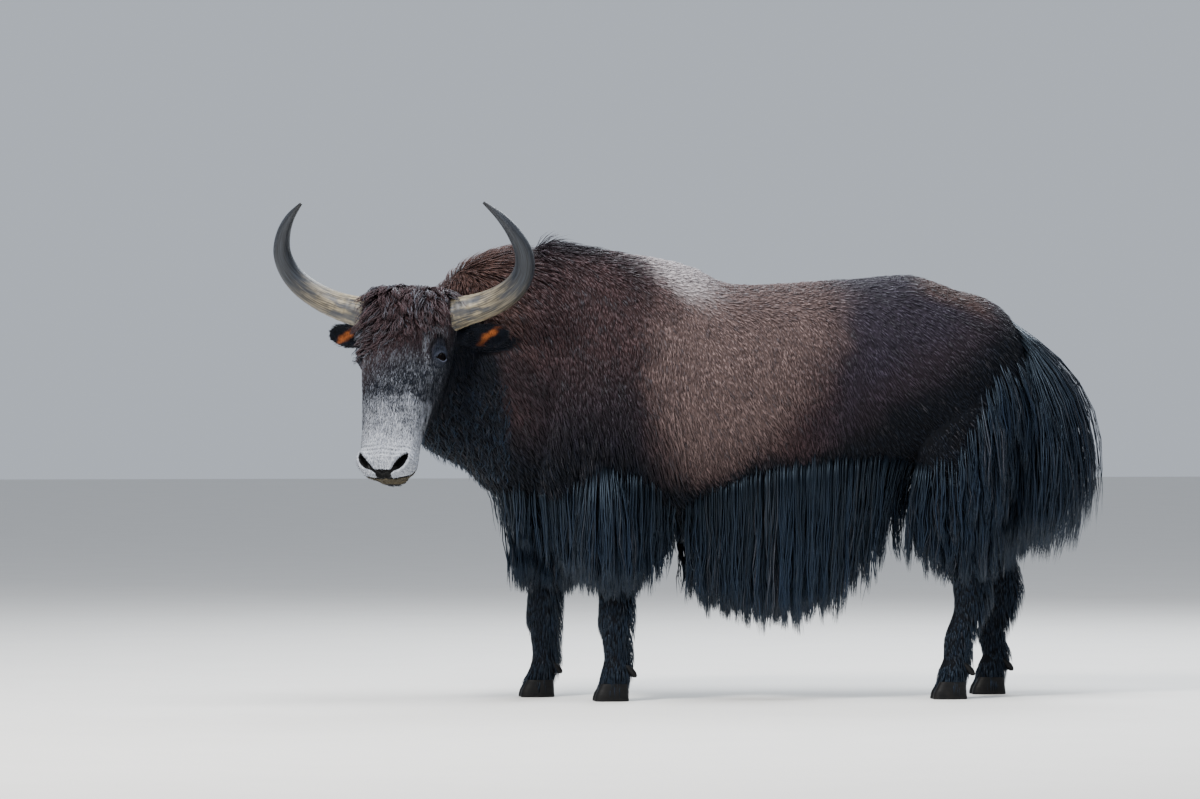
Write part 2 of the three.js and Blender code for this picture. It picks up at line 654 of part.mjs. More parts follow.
function buildHead() {
  let head = headFlesh();
  for (const side of SIDES) {
    const outwards = HEAD_LEFT.clone().multiplyScalar(leftOf(side));
    const inwards = outwards.clone().negate();
    const hornCut = besideHead(side, [HORN_ROOT_REACH, 0, 0]);
    keep(`horn_${side.name}`, "horn", without(beyond(hornWhole(side), hornCut, outwards), [headClear]));
    const earCut = besideHead(side, [EAR_ROOT_REACH, 0, 0]);
    keep(`ear_${side.name}`, "black_hair", without(beyond(ear(side), earCut, outwards), [headClear]));
    keep(`eye_${side.name}`, "eye", eyeball(side));
    const opening = headEllipsoid(eyePlace(side, 26), [17, 11, 19], eyeTurn(side));
    const roots = [beyond(hornWhole(side), hornCut, inwards), beyond(ear(side), earCut, inwards), lids(side)];
    head = without(joined([head, ...roots]), [eyeball(side, TOUCH_GAP), opening, nostril(side)]);
  }
  const hair = without(joined([...forelock(), ...jawHair()]), [neckClear, ...hornsClear()]);
  keep("head", "face_hair", joined([without(head, [mouthLine()]), hair]));
}

function hornsClear() {
  return SIDES.map((side) => {
    const line = HORN.line.map((place) => besideHead(side, place));
    const radii = HORN.radii.map((radius) => radius + TOUCH_GAP);
    const cut = besideHead(side, [HORN_ROOT_REACH, 0, 0]);
    return loft(tubeSections(line, radii, HEADING), 10, 15).trimByPlane(
      HEAD_LEFT.clone().multiplyScalar(leftOf(side)).toArray(),
      cut.dot(HEAD_LEFT) * leftOf(side),
    );
  });
}

// Upright planes that keep the hair of neighbouring nodes apart.
const FENCES = [
  { kind: "fore", point: new THREE.Vector3(-112, 0, 0), normal: FORWARDS },
  { kind: "hind", point: new THREE.Vector3(690, 0, 0), normal: BACKWARDS },
  { kind: "hind", point: new THREE.Vector3(1165, 0, 0), normal: FORWARDS },
];

function buildLeg(leg) {
  const { kind, side, sections, cut } = leg;
  const whole = loft(sections, 10, 15);
  const clear = loft(sections, 10, 15, TOUCH_GAP);
  const lowerClear = clear.trimByPlane([0, 0, -1], -cut.z);
  const hair = (kind === "fore" ? foreLegHair : thighHair)(leg);
  const upper = joined([beyond(whole, cut, UP), ...hair]);
  const fences = FENCES.filter((fence) => fence.kind === kind);
  const fenced = fences.reduce((left, { point, normal }) => beyond(left, point, normal), upper);
  keep(`${kind}leg_upper_${side.name}`, "black_hair", without(fenced, [torsoClear, neckClear, lowerClear]));

  const foot = new THREE.Vector3(0, 0, CLAW_HEIGHT);
  keep(`${kind}leg_lower_${side.name}`, "black_hair", beyond(beyond(whole, cut, DOWN), foot, UP));
  for (const [place, apart] of [["inner", -CLAW.apart], ["outer", CLAW.apart]]) {
    const y = side.sign * (FOOT_REACH + apart);
    keep(`claw_${kind}_${side.name}_${place}`, "claw", beyond(claw(leg.hoof, y), foot, DOWN));
    keep(`dewclaw_${kind}_${side.name}_${place}`, "claw", without(dewClaw(leg.hoof, y), [clear]));
  }
  return clear;
}

// The fold of flank that a skirt grows from is cut off the barrel, and its hair hangs clear below.
function buildSkirt(side, barrelFlesh, legsClear) {
  const { top, reach } = SKIRT_STRIP;
  const outwards = RIGHTWARDS.clone().multiplyScalar(side.sign);
  const inner = outwards.clone().multiplyScalar(reach);
  const strip = beyond(beyond(barrelFlesh, new THREE.Vector3(0, 0, top), DOWN), inner, outwards);
  const fixed = [
    torsoClear.trimByPlane([-1, 0, 0], -BARREL_FROM),
    torsoClear.trimByPlane([1, 0, 0], BARREL_TO),
    torsoClear.trimByPlane([0, 0, 1], top),
    torsoClear.trimByPlane(outwards.clone().negate().toArray(), -reach),
  ];
  const hair = without(joined(skirtHair(side)), [...fixed, ...legsClear]);
  keep(`skirt_${side.name}`, "black_hair", joined([strip, hair]));
  const space = torsoFlesh(1).trimByPlane([0, 0, -1], -top - TOUCH_GAP / 2);
  return space.trimByPlane(outwards.toArray(), reach - TOUCH_GAP / 2);
}

// The brisket, low between the forelegs' tops, carries the chest's hair.
function buildBrisket(front, legsClear) {
  const { x, top } = BRISKET_CUT;
  const ahead = beyond(front, new THREE.Vector3(x, 0, 0), FORWARDS);
  const flesh = beyond(ahead, new THREE.Vector3(0, 0, top), DOWN);
  const fixed = [torsoClear.trimByPlane([1, 0, 0], x), torsoClear.trimByPlane([0, 0, 1], top)];
  const hair = without(joined(chestHair()), [neckClear, ...legsClear, ...fixed]);
  keep("brisket", "black_hair", joined([flesh, hair]));
  const space = torsoFlesh(1).trimByPlane([-1, 0, 0], -x - TOUCH_GAP / 2);
  return space.trimByPlane([0, 0, -1], -top - TOUCH_GAP / 2);
}

function buildBody(legsClear) {
  const frontCut = new THREE.Vector3(BARREL_FROM, 0, 0);
  const rearCut = new THREE.Vector3(BARREL_TO, 0, 0);
  const torso = torsoFlesh();
  const barrel = beyond(beyond(torso, frontCut, BACKWARDS), rearCut, FORWARDS);
  const skirtSpaces = SIDES.map((side) => buildSkirt(side, barrel, legsClear));
  keep("barrel", "brown_hair", without(barrel, skirtSpaces));
  const front = beyond(torso, frontCut, FORWARDS);
  const brisketSpace = buildBrisket(front, legsClear);
  const hump = without(joined(crestTufts(TORSO, 0.05, 0.19, 7)), [neckClear]);
  keep("forequarters", "brown_hair", joined([front.subtract(brisketSpace), hump]));
  keep("hindquarters", "black_hair", beyond(torso, rearCut, BACKWARDS));
  const neck = joined([loft(NECK, 16, 9), ...throatHair(), ...crestTufts(NECK, 0.3, 0.62, 9)]);
  keep("neck", "brown_hair", without(neck, [torsoClear, headClear]));
  const tail = joined([loft(DOCK_SECTIONS, 12, 8), ...tailHair()]);
  keep("tail", "black_hair", without(tail, [torsoClear, ...legsClear]));
}

buildHead();
buildBody(LEGS.map(buildLeg));

// Finishes

const FINISHES = {
  brown_hair: { color: 0x3b2a22, roughness: 0.85, metalness: 0 },
  black_hair: { color: 0x121316, roughness: 0.7, metalness: 0 },
  face_hair: { color: 0x5b5552, roughness: 0.85, metalness: 0 },
  horn: { color: 0x8a8272, roughness: 0.55, metalness: 0 },
  claw: { color: 0x26221f, roughness: 0.5, metalness: 0 },
  eye: { color: 0x140d0a, roughness: 0.08, metalness: 0 },
};

const yak = new THREE.Group();
for (const { name, made, finish } of nodes) {
  const mesh = new THREE.Mesh(geometryOf(made), new THREE.MeshStandardMaterial(FINISHES[finish]));
  mesh.name = name;
  yak.add(mesh);
}

// The origin goes on the floor, under the middle of the whole animal.
const reach = new THREE.Box3().setFromObject(yak);
const middle = reach.getCenter(new THREE.Vector3());
yak.position.set(-middle.x, -middle.y, -reach.min.z);

export default yak;
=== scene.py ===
import math

import bmesh
import bpy
import numpy as np
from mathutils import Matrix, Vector


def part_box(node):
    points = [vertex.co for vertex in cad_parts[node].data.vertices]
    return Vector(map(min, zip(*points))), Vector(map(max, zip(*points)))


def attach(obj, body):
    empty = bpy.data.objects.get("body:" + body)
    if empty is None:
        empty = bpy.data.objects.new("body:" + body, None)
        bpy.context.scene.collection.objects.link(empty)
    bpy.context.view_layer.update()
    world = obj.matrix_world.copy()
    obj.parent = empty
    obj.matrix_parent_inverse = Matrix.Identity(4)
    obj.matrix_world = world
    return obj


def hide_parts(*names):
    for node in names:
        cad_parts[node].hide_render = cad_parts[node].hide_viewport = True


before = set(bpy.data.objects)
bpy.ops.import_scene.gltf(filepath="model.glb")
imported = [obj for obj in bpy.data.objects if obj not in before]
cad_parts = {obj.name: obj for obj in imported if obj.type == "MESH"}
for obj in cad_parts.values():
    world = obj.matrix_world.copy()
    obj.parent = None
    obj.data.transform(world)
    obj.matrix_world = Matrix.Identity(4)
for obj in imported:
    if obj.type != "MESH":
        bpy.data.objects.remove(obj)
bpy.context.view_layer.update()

# Torso. The trunk of the yak with the hump over its shoulders, lofted through upright sections from the
# breast to the buttocks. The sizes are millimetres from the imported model's own drawing, with x = 0 behind
# the shoulder, and every form is set back from the solids by the depth of the coat that it carries.
claw_low, claw_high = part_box("claw_fore_left_outer")
DRAWN_CLAW = np.array([-342.0, -199.0, 0.0])
SHIFT = DRAWN_CLAW - 1000 * np.array([(claw_low.x + claw_high.x) / 2, (claw_low.y + claw_high.y) / 2, 0])
UP = np.array([0.0, 0.0, 1.0])
COAT_DEPTH = 20


def placed(points):
    return (np.asarray(points, float) - SHIFT) / 1000


def drawn(points):
    return np.asarray(points, float) * 1000 + SHIFT


def mix(a, b, share):
    return a + (b - a) * share


def unit(vectors):
    size = np.linalg.norm(vectors, axis=-1, keepdims=True)
    return vectors / np.maximum(size, 1e-9)


def along(rows, t):
    rows = np.asarray(rows, float)
    last = len(rows) - 1
    place = np.clip(t, 0, 1) * last
    i = np.minimum(place.astype(int), last - 1)
    f = (place - i)[:, None]
    a, b, c, d = rows[np.maximum(i - 1, 0)], rows[i], rows[i + 1], rows[np.minimum(i + 2, last)]
    return b + 0.5 * f * (c - a + f * (2 * a - 5 * b + 4 * c - d + f * (3 * (b - c) + d - a)))


def section(at, across, rise, wide, up, down, above=2.0, below=2.0):
    return [*at, *across, *rise, wide, up, down, above, below]


def on_sections(rows, t, angle, grow=0.0):
    s = along(rows, t)
    c, h = np.cos(angle), np.sin(angle)
    upper = h >= 0
    power = 2 / np.where(upper, s[:, 12], s[:, 13])
    wide = np.sign(c) * np.abs(c) ** power * (s[:, 9] + grow)
    tall = np.sign(h) * np.abs(h) ** power * (np.where(upper, s[:, 10], s[:, 11]) + grow)
    return s[:, :3] + (unit(s[:, 3:6]) * wide[:, None] + unit(s[:, 6:9]) * tall[:, None])


def coordinates(mesh):
    flat = np.empty(len(mesh.vertices) * 3)
    mesh.vertices.foreach_get("co", flat)
    return flat.reshape(-1, 3)


def lay_out(mesh, points):
    mesh.vertices.foreach_set("co", placed(points).ravel())
    return mesh


def mesh_of(bm, name):
    mesh = bpy.data.meshes.new(name)
    bm.to_mesh(mesh)
    bm.free()
    return mesh


def straight_tube(name, around, rings):
    bm = bmesh.new()
    bmesh.ops.create_cone(bm, cap_ends=True, segments=around, radius1=1, radius2=1, depth=1)
    upright = [e for e in bm.edges if abs(e.verts[0].co.z - e.verts[1].co.z) > 0.5]
    bmesh.ops.subdivide_edges(bm, edges=upright, cuts=rings - 1, use_grid_fill=True)
    return mesh_of(bm, name)


def bent(mesh, rows, grow=0.0, shape=on_sections):
    tube = coordinates(mesh)
    return lay_out(mesh, shape(rows, tube[:, 2] + 0.5, np.arctan2(tube[:, 1], tube[:, 0]), grow))


def loft(name, rows, around, rings, grow=0.0, shape=on_sections):
    return bent(straight_tube(name, around, rings), rows, grow, shape)


TORSO = [
    section([x, 0, level], [0, 1, 0], UP, wide, back - level, level - belly, above, 2.1)
    for x, back, belly, level, wide, above in [
        (-650, 1500, 760, 1100, 150, 2),
        (-600, 1612, 690, 1080, 225, 1.7),
        (-540, 1638, 655, 1060, 285, 1.6),
        (-430, 1626, 638, 1040, 322, 1.5),
        (-300, 1602, 630, 1040, 342, 1.6),
        (-150, 1580, 625, 1040, 362, 1.75),
        (-30, 1547, 620, 1040, 380, 1.9),
        (60, 1503, 620, 1040, 392, 2),
        (150, 1486, 625, 1035, 398, 2.1),
        (290, 1490, 640, 1035, 398, 2.1),
        (430, 1500, 670, 1045, 384, 2.1),
        (560, 1510, 720, 1065, 356, 2.1),
        (690, 1522, 770, 1090, 332, 2.1),
        (760, 1521, 790, 1100, 324, 2),
        (830, 1504, 800, 1110, 315, 1.9),
        (910, 1474, 805, 1120, 300, 1.9),
        (1000, 1450, 820, 1130, 270, 1.9),
        (1080, 1408, 850, 1130, 222, 1.9),
        (1140, 1330, 930, 1120, 155, 2),
        (1165, 1240, 1000, 1120, 80, 2),
    ]
]
forms = {"torso": loft("torso", TORSO, 64, 90, -COAT_DEPTH)}

# Neck. It runs from the shoulders into the back of the head, turning to the animal's left as it goes, with
# a deep throat and a high crest.
BODY_TO_HEAD_TURN = math.radians(65)
FACE_PITCH = math.radians(65)
HEADING = np.array([-math.cos(BODY_TO_HEAD_TURN), -math.sin(BODY_TO_HEAD_TURN), 0])
HEAD_LEFT = np.cross(UP, HEADING)
FACE_DOWN = HEADING * math.cos(FACE_PITCH) - UP * math.sin(FACE_PITCH)
FACE_OUT = np.cross(FACE_DOWN, HEAD_LEFT)


def neck_section(x, y, z, turn, wide, up, down, lean):
    across = np.array([-math.sin(math.radians(turn)), math.cos(math.radians(turn)), 0])
    tilted = UP - HEADING * lean
    rise = unit(tilted - across * np.dot(tilted, across))
    return section([x, y, z], across, rise, wide, up, down, 1.9, 1.8)


NECK = [
    neck_section(-480, 0, 1120, 0, 280, 440, 440, 0),
    neck_section(-600, 0, 1130, 4, 276, 470, 445, 0),
    neck_section(-720, -8, 1145, 9, 258, 458, 440, 0),
    neck_section(-845, -28, 1165, 20, 228, 384, 358, 0),
    neck_section(-935, -62, 1185, 38, 203, 288, 318, 0.12),
    neck_section(-1000, -100, 1212, 54, 178, 205, 262, 0.3),
    neck_section(-1045, -160, 1235, 61, 140, 150, 196, 0.45),
]
forms["neck"] = loft("neck", NECK, 64, 60, -COAT_DEPTH)

# Head. A long skull with a broad forehead, orbits that stand out at the sides, padded nostrils and a
# rounded chin. It is laid out on its own axes: left of its middle, out of the face, and down the face.
HEAD_PLACE = np.array([-1052.0, -200.0, 1376.0])
FACE_HAIR_DEPTH = 5


def on_head(left, out, down):
    return HEAD_PLACE + HEAD_LEFT * np.c_[left] + FACE_OUT * np.c_[out] + FACE_DOWN * np.c_[down]


HEAD_ROWS = [
    (-80, 92, 4, 60, 2.2),
    (-64, 136, 46, 106, 2.4),
    (-38, 160, 88, 146, 2.6),
    (5, 172, 116, 172, 2.7),
    (75, 168, 128, 188, 2.7),
    (140, 161, 127, 196, 2.7),
    (200, 152, 119, 200, 2.6),
    (265, 140, 110, 194, 2.5),
    (335, 127, 101, 168, 2.5),
    (410, 117, 93, 138, 2.5),
    (480, 109, 87, 118, 2.4),
    (535, 107, 83, 108, 2.4),
    (583, 107, 76, 98, 2.4),
    (612, 98, 62, 84, 2.3),
    (632, 78, 44, 62, 2.2),
    (642, 46, 24, 36, 2),
]
HEAD_DOWNS = [row[0] for row in HEAD_ROWS]
HEAD = [
    section(on_head(0, 0, down)[0], HEAD_LEFT, FACE_OUT, wide, front, back, square, 2.1)
    for down, wide, front, back, square in HEAD_ROWS
]
forms["head"] = loft("head", HEAD, 64, 120, -FACE_HAIR_DEPTH)


def head_lump(name, place, radii, turn=0.0):
    bm = bmesh.new()
    bmesh.ops.create_icosphere(bm, subdivisions=4, radius=1)
    mesh = mesh_of(bm, name)
    ball = coordinates(mesh) * radii
    left = ball[:, 0] * math.cos(turn) - ball[:, 1] * math.sin(turn)
    out = ball[:, 0] * math.sin(turn) + ball[:, 1] * math.cos(turn)
    return lay_out(mesh, on_head(place[0] + left, place[1] + out, place[2] + ball[:, 2]))


EYE_TURN = 0.55
for side in (-1, 1):
    forms[f"orbit{side}"] = head_lump("orbit", (side * 132, 26, 186), (31, 41, 51), side * EYE_TURN)
    forms[f"nostril_pad{side}"] = head_lump("nostril_pad", (side * 56, 22, 586), (52, 47, 46))
forms["chin"] = head_lump("chin", (0, -66, 602), (62, 36, 37))

# Ears. Each is a thin leaf with a deep cup in its front, which stands out sideways below the horn.
EAR_ROOT, EAR_TIP = (150, -34, -96), (334, -78, -84)
EAR_OUTLINE = [0.5, 0.68, 0.88, 1, 1.04, 0.98, 0.78, 0.34]
EAR_WIDE, EAR_THICK, EAR_WALL = 44, 27, 11


def beside_head(side, place):
    out, ahead, up = place
    return HEAD_PLACE + HEAD_LEFT * side * out + HEADING * ahead + UP * up


def cupped(rows, t, angle, grow):
    s = along(rows, t)
    c, h = np.cos(angle), np.sin(angle)
    open_share = np.clip((t - 0.2) / 0.15, 0, 1)
    bowl = np.sqrt(np.maximum(1 - c * c, 0)) * (s[:, 11] + grow)
    wall = mix(bowl, EAR_WALL / 2 * np.sqrt(np.maximum(1 - c**6, 0)), open_share)
    tall = (4 - bowl) * open_share + np.where(h >= 0, wall, -wall)
    wide = c * (s[:, 9] + grow)
    return s[:, :3] + unit(s[:, 3:6]) * wide[:, None] + unit(s[:, 6:9]) * tall[:, None]


ear_frames = {}
for side in (-1, 1):
    root, tip = beside_head(side, EAR_ROOT), beside_head(side, EAR_TIP)
    line = unit(tip - root)
    face = HEADING * 0.92 - UP * 0.25
    face = unit(face - line * np.dot(face, line))
    across = np.cross(face, line)
    ear_frames[side] = (root, line, face, across)
    rows = [
        section(root + (tip - root) * i / 7, across, face, EAR_WIDE * w, EAR_THICK * w, EAR_THICK * w)
        for i, w in enumerate(EAR_OUTLINE)
    ]
    forms[f"ear{side}"] = loft("ear", rows, 32, 40, 0, cupped)

# Legs. Shoulder and thigh are muscle under long hair, and the shanks below them are lean, down to the
# pasterns over the claws. The near forefoot and hind foot stand behind the far ones.
FOOT_REACH = 170
LEG_HAIR_DEPTH = 26
SHANK_HAIR_DEPTH = 8
LONG_HAIR_FROM, LONG_HAIR_TO = 380, 630


def fore_leg(knee, hoof):
    shoulder = -400 + 0.25 * (knee + 326)
    return [
        (1100, shoulder, 215, 150, 150, 70),
        (940, mix(shoulder, knee, 0.08), 215, 150, 140, 92),
        (800, mix(shoulder, knee, 0.25), 206, 132, 115, 96),
        (680, mix(shoulder, knee, 0.5), 194, 108, 92, 86),
        (560, mix(shoulder, knee, 0.78), 183, 84, 76, 73),
        (440, mix(shoulder, knee, 0.93), 175, 70, 66, 63),
        (340, knee, 171, 66, 66, 62),
        (275, knee, FOOT_REACH, 62, 68, 62),
        (220, knee + 3, FOOT_REACH, 55, 56, 54),
        (160, knee + 6, FOOT_REACH, 54, 52, 51),
        (112, knee + 4, FOOT_REACH, 62, 58, 58),
        (76, hoof + 3, FOOT_REACH, 56, 58, 56),
        (50, hoof, FOOT_REACH, 58, 62, 58),
    ]


def hind_leg(hock, hoof):
    hip = 910 + 0.5 * (hock - 944)
    return [
        (1230, hip, 180, 120, 130, 70),
        (1080, hip - 5, 198, 172, 178, 92),
        (930, hip - 15, 202, 172, 180, 100),
        (800, hip - 20, 198, 155, 162, 94),
        (670, mix(hip, hock, 0.05), 188, 130, 130, 82),
        (550, mix(hip, hock, 0.5), 179, 104, 98, 70),
        (450, mix(hip, hock, 0.9), 173, 84, 78, 60),
        (375, hock + 2, FOOT_REACH, 74, 66, 54),
        (310, hock - 6, FOOT_REACH, 60, 60, 50),
        (225, mix(hock - 38, hoof, 0.15), FOOT_REACH, 54, 54, 48),
        (150, hoof + 18, FOOT_REACH, 53, 53, 50),
        (108, hoof + 8, FOOT_REACH, 60, 58, 56),
        (74, hoof + 2, FOOT_REACH, 56, 58, 55),
        (50, hoof, FOOT_REACH, 58, 62, 58),
    ]


def leg_section(sign, z, x, reach, behind, ahead, wide):
    long_hair = float(np.clip((z - LONG_HAIR_FROM) / (LONG_HAIR_TO - LONG_HAIR_FROM), 0, 1))
    depth = mix(SHANK_HAIR_DEPTH, LEG_HAIR_DEPTH, long_hair)
    sizes = wide - depth, behind - depth, ahead - depth
    return section([x, sign * reach, z], [0, 1, 0], [1, 0, 0], *sizes, 2.1, 2.1)


for name, sign, rows in [
    ("fore_left", -1, fore_leg(-326, -332)),
    ("fore_right", 1, fore_leg(-541, -556)),
    ("hind_left", -1, hind_leg(944, 878)),
    ("hind_right", 1, hind_leg(1118, 1080)),
]:
    forms[name] = loft(name, [leg_section(sign, *row) for row in rows], 40, 80)

# Dock. The root of the tail, muscle and bone, which hangs from the rump inside the long tail hair.
DOCK_LINE = [(1055, 0, 1365), (1128, 0, 1292), (1190, 0, 1185), (1228, 0, 1060), (1240, 0, 930)]
DOCK_RADII = [28, 30, 36, 34, 16]
DOCK = [
    section(at, [0, 1, 0], unit(np.array([0.35 + 0.1 * i, 0, 0.6 - 0.15 * i])), radius, radius, radius)
    for i, (at, radius) in enumerate(zip(DOCK_LINE, DOCK_RADII))
]
forms["dock"] = loft("dock", DOCK, 24, 24)

# Skin. One closed hide over all of these forms, grown together and smoothed, so that no seam shows
# between the parts. The face keeps its fine mesh, and the trunk, which the coat covers, is thinned.
VOXEL = 0.0055
TRUNK_KEPT = 0.24
HEAD_MARGIN = 12


def applied(piece):
    depsgraph = bpy.context.evaluated_depsgraph_get()
    mesh = bpy.data.meshes.new_from_object(piece.evaluated_get(depsgraph))
    piece.modifiers.clear()
    old = piece.data
    piece.data = mesh
    bpy.data.meshes.remove(old)


def piece_of(name, mesh):
    mesh.name = name
    piece = bpy.data.objects.new(name, mesh)
    bpy.context.scene.collection.objects.link(piece)
    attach(piece, "root")
    return piece


whole = bmesh.new()
for mesh in forms.values():
    whole.from_mesh(mesh)
skin = piece_of("skin", mesh_of(whole, "skin"))
remesh = skin.modifiers.new("one hide", "REMESH")
remesh.mode = "VOXEL"
remesh.voxel_size = VOXEL
remesh.use_smooth_shade = True
smooth = skin.modifiers.new("settled joints", "SMOOTH")
smooth.factor = 0.5
smooth.iterations = 5
applied(skin)


def fade(low, high, value):
    t = np.clip((value - low) / (high - low), 0, 1)
    return t * t * (3 - 2 * t)


def within(value, low, high):
    return (value > low) & (value < high)


def head_axes(points):
    local = points - HEAD_PLACE
    return local @ HEAD_LEFT, local @ FACE_OUT, local @ FACE_DOWN


def ear_axes(points, side):
    root, line, face, across = ear_frames[side]
    local = points - root
    return local @ line, local @ face, local @ across


def by_ears(points, nearest, thick, wide):
    beside = [ear_axes(points, side) for side in (-1, 1)]
    return np.any([
        (far > nearest) & (np.abs(ahead) < thick) & (np.abs(over) < wide) for far, ahead, over in beside
    ], axis=0)


def share_of_head(points):
    left, out, down = head_axes(points)
    s = along(HEAD, np.interp(down, HEAD_DOWNS, np.linspace(0, 1, len(HEAD_DOWNS))))
    tall = np.where(out >= 0, s[:, 10], s[:, 11])
    inside = (np.abs(left) / (s[:, 9] + HEAD_MARGIN)) ** 2.4 + (np.abs(out) / (tall + HEAD_MARGIN)) ** 2.2
    wings = (np.abs(left) > 150) & within(down, -160, 260) & within(out, -160, 120)
    by_ear = (np.abs(left) < 200) | by_ears(points, 0, 50, 62)
    return (within(down, -95, 660) & ((inside < 1.12) | wings & by_ear)).astype(float)


thinned = skin.vertex_groups.new(name="thinned")
for index in np.flatnonzero(share_of_head(drawn(coordinates(skin.data))) < 0.5):
    thinned.add([int(index)], 1.0, "REPLACE")
decimate = skin.modifiers.new("thinned", "DECIMATE")
decimate.ratio = TRUNK_KEPT
decimate.vertex_group = "thinned"
applied(skin)
skin.vertex_groups.clear()

# The features of the face are worked into the hide: lids that follow the eyeball, comma nostrils, the
# line of the mouth with its lips, the crest of the cheek, and folds round the eye and over the muzzle.
EYE_LEFT, EYE_OUT, EYE_DOWN, EYE_RADIUS = 138, 28, 196, 26
LID_OPEN, LID_REACH, LID_TILT = 14, 25, 0.32
SOCKET_REACH, SOCKET_TALL, SOCKET_UP = 44, 60, 20
NOSTRIL = np.array([
    (10, 24, 644), (24, 36, 640), (40, 47, 633), (56, 56, 622), (70, 61, 607), (82, 62, 590), (90, 58, 572),
])
NOSTRIL_WIDE = np.array([8, 7, 9, 12, 13, 10, 5])
LIP_CORNER = 528
LIP_DOWN = [LIP_CORNER, 565, 600, 620, 636, 650]
LIP_OUT = [-31, -33, -30, -19, -1, 3]


def eye_axes(points, side):
    left, out, down = head_axes(points)
    left = side * left - EYE_LEFT
    out, down = out - EYE_OUT, down - EYE_DOWN
    proud = left * math.cos(EYE_TURN) + out * math.sin(EYE_TURN)
    along_lids = -left * math.sin(EYE_TURN) + out * math.cos(EYE_TURN)
    u = along_lids * math.cos(LID_TILT) + down * math.sin(LID_TILT)
    v = down * math.cos(LID_TILT) - along_lids * math.sin(LID_TILT)
    return u, v, proud


def to_line(points, line, wide):
    best = np.full(len(points), 1e9)
    share = np.zeros(len(points))
    for i in range(len(line) - 1):
        a, b = line[i], line[i + 1]
        t = np.clip((points - a) @ (b - a) / np.dot(b - a, b - a), 0, 1)
        away = np.linalg.norm(points - a - t[:, None] * (b - a), axis=1) / mix(wide[i], wide[i + 1], t)
        nearer = away < best
        best = np.where(nearer, away, best)
        share = np.where(nearer, (i + t) / (len(line) - 1), share)
    return best, share


def face_marks(points):
    left, out, down = head_axes(points)
    folded = np.c_[np.abs(left), out, down]
    nostril, inward = to_line(folded, NOSTRIL, NOSTRIL_WIDE)
    lips = np.abs(out - np.interp(down, LIP_DOWN, LIP_OUT))
    lips += np.maximum(LIP_CORNER - down, 0)
    philtrum = np.abs(left) / mix(6, 16, fade(20, -20, out)) + np.where((out > -46) & (out < 42), 0, 9)
    return nostril, inward, lips, philtrum + np.where(down > 600, 0, 9)


def eye_socket(points, side):
    u, v, proud = eye_axes(points, side)
    return np.hypot(u / SOCKET_REACH, (v + SOCKET_UP) / SOCKET_TALL) + np.where(np.abs(proud) < 55, 0, 9)


def eye_ahead(side):
    return HEAD_LEFT * side * math.cos(EYE_TURN) + FACE_OUT * math.sin(EYE_TURN)


def lid_gap(u):
    return LID_OPEN * np.maximum(1 - (u / LID_REACH) ** 2, 0.01)


def bump(value, middle, reach):
    return np.exp(-(((value - middle) / reach) ** 2))


def muzzle_folds(left, down):
    return np.sin(down * 0.42 + 0.9 * np.cos(left * 0.07))


def split_faces(mesh, close_to):
    bm = bmesh.new()
    bm.from_mesh(mesh)
    bm.verts.ensure_lookup_table()
    near = close_to(drawn(coordinates(mesh)))
    edges = [e for e in bm.edges if near[e.verts[0].index] and near[e.verts[1].index]]
    bmesh.ops.subdivide_edges(bm, edges=edges, cuts=1, smooth=0.6)
    bmesh.ops.triangulate(bm, faces=[f for f in bm.faces if len(f.verts) > 4])
    bm.to_mesh(mesh)
    bm.free()


def from_eyes(points):
    return np.min([np.linalg.norm(np.stack(eye_axes(points, side)), axis=0) for side in (-1, 1)], axis=0)


def by_nose(points):
    nostril, _, lips, _ = face_marks(points)
    return (nostril < 2.4) | (lips < 12)


split_faces(skin.data, lambda points: (from_eyes(points) < 58) | by_nose(points))
split_faces(skin.data, lambda points: from_eyes(points) < 40)


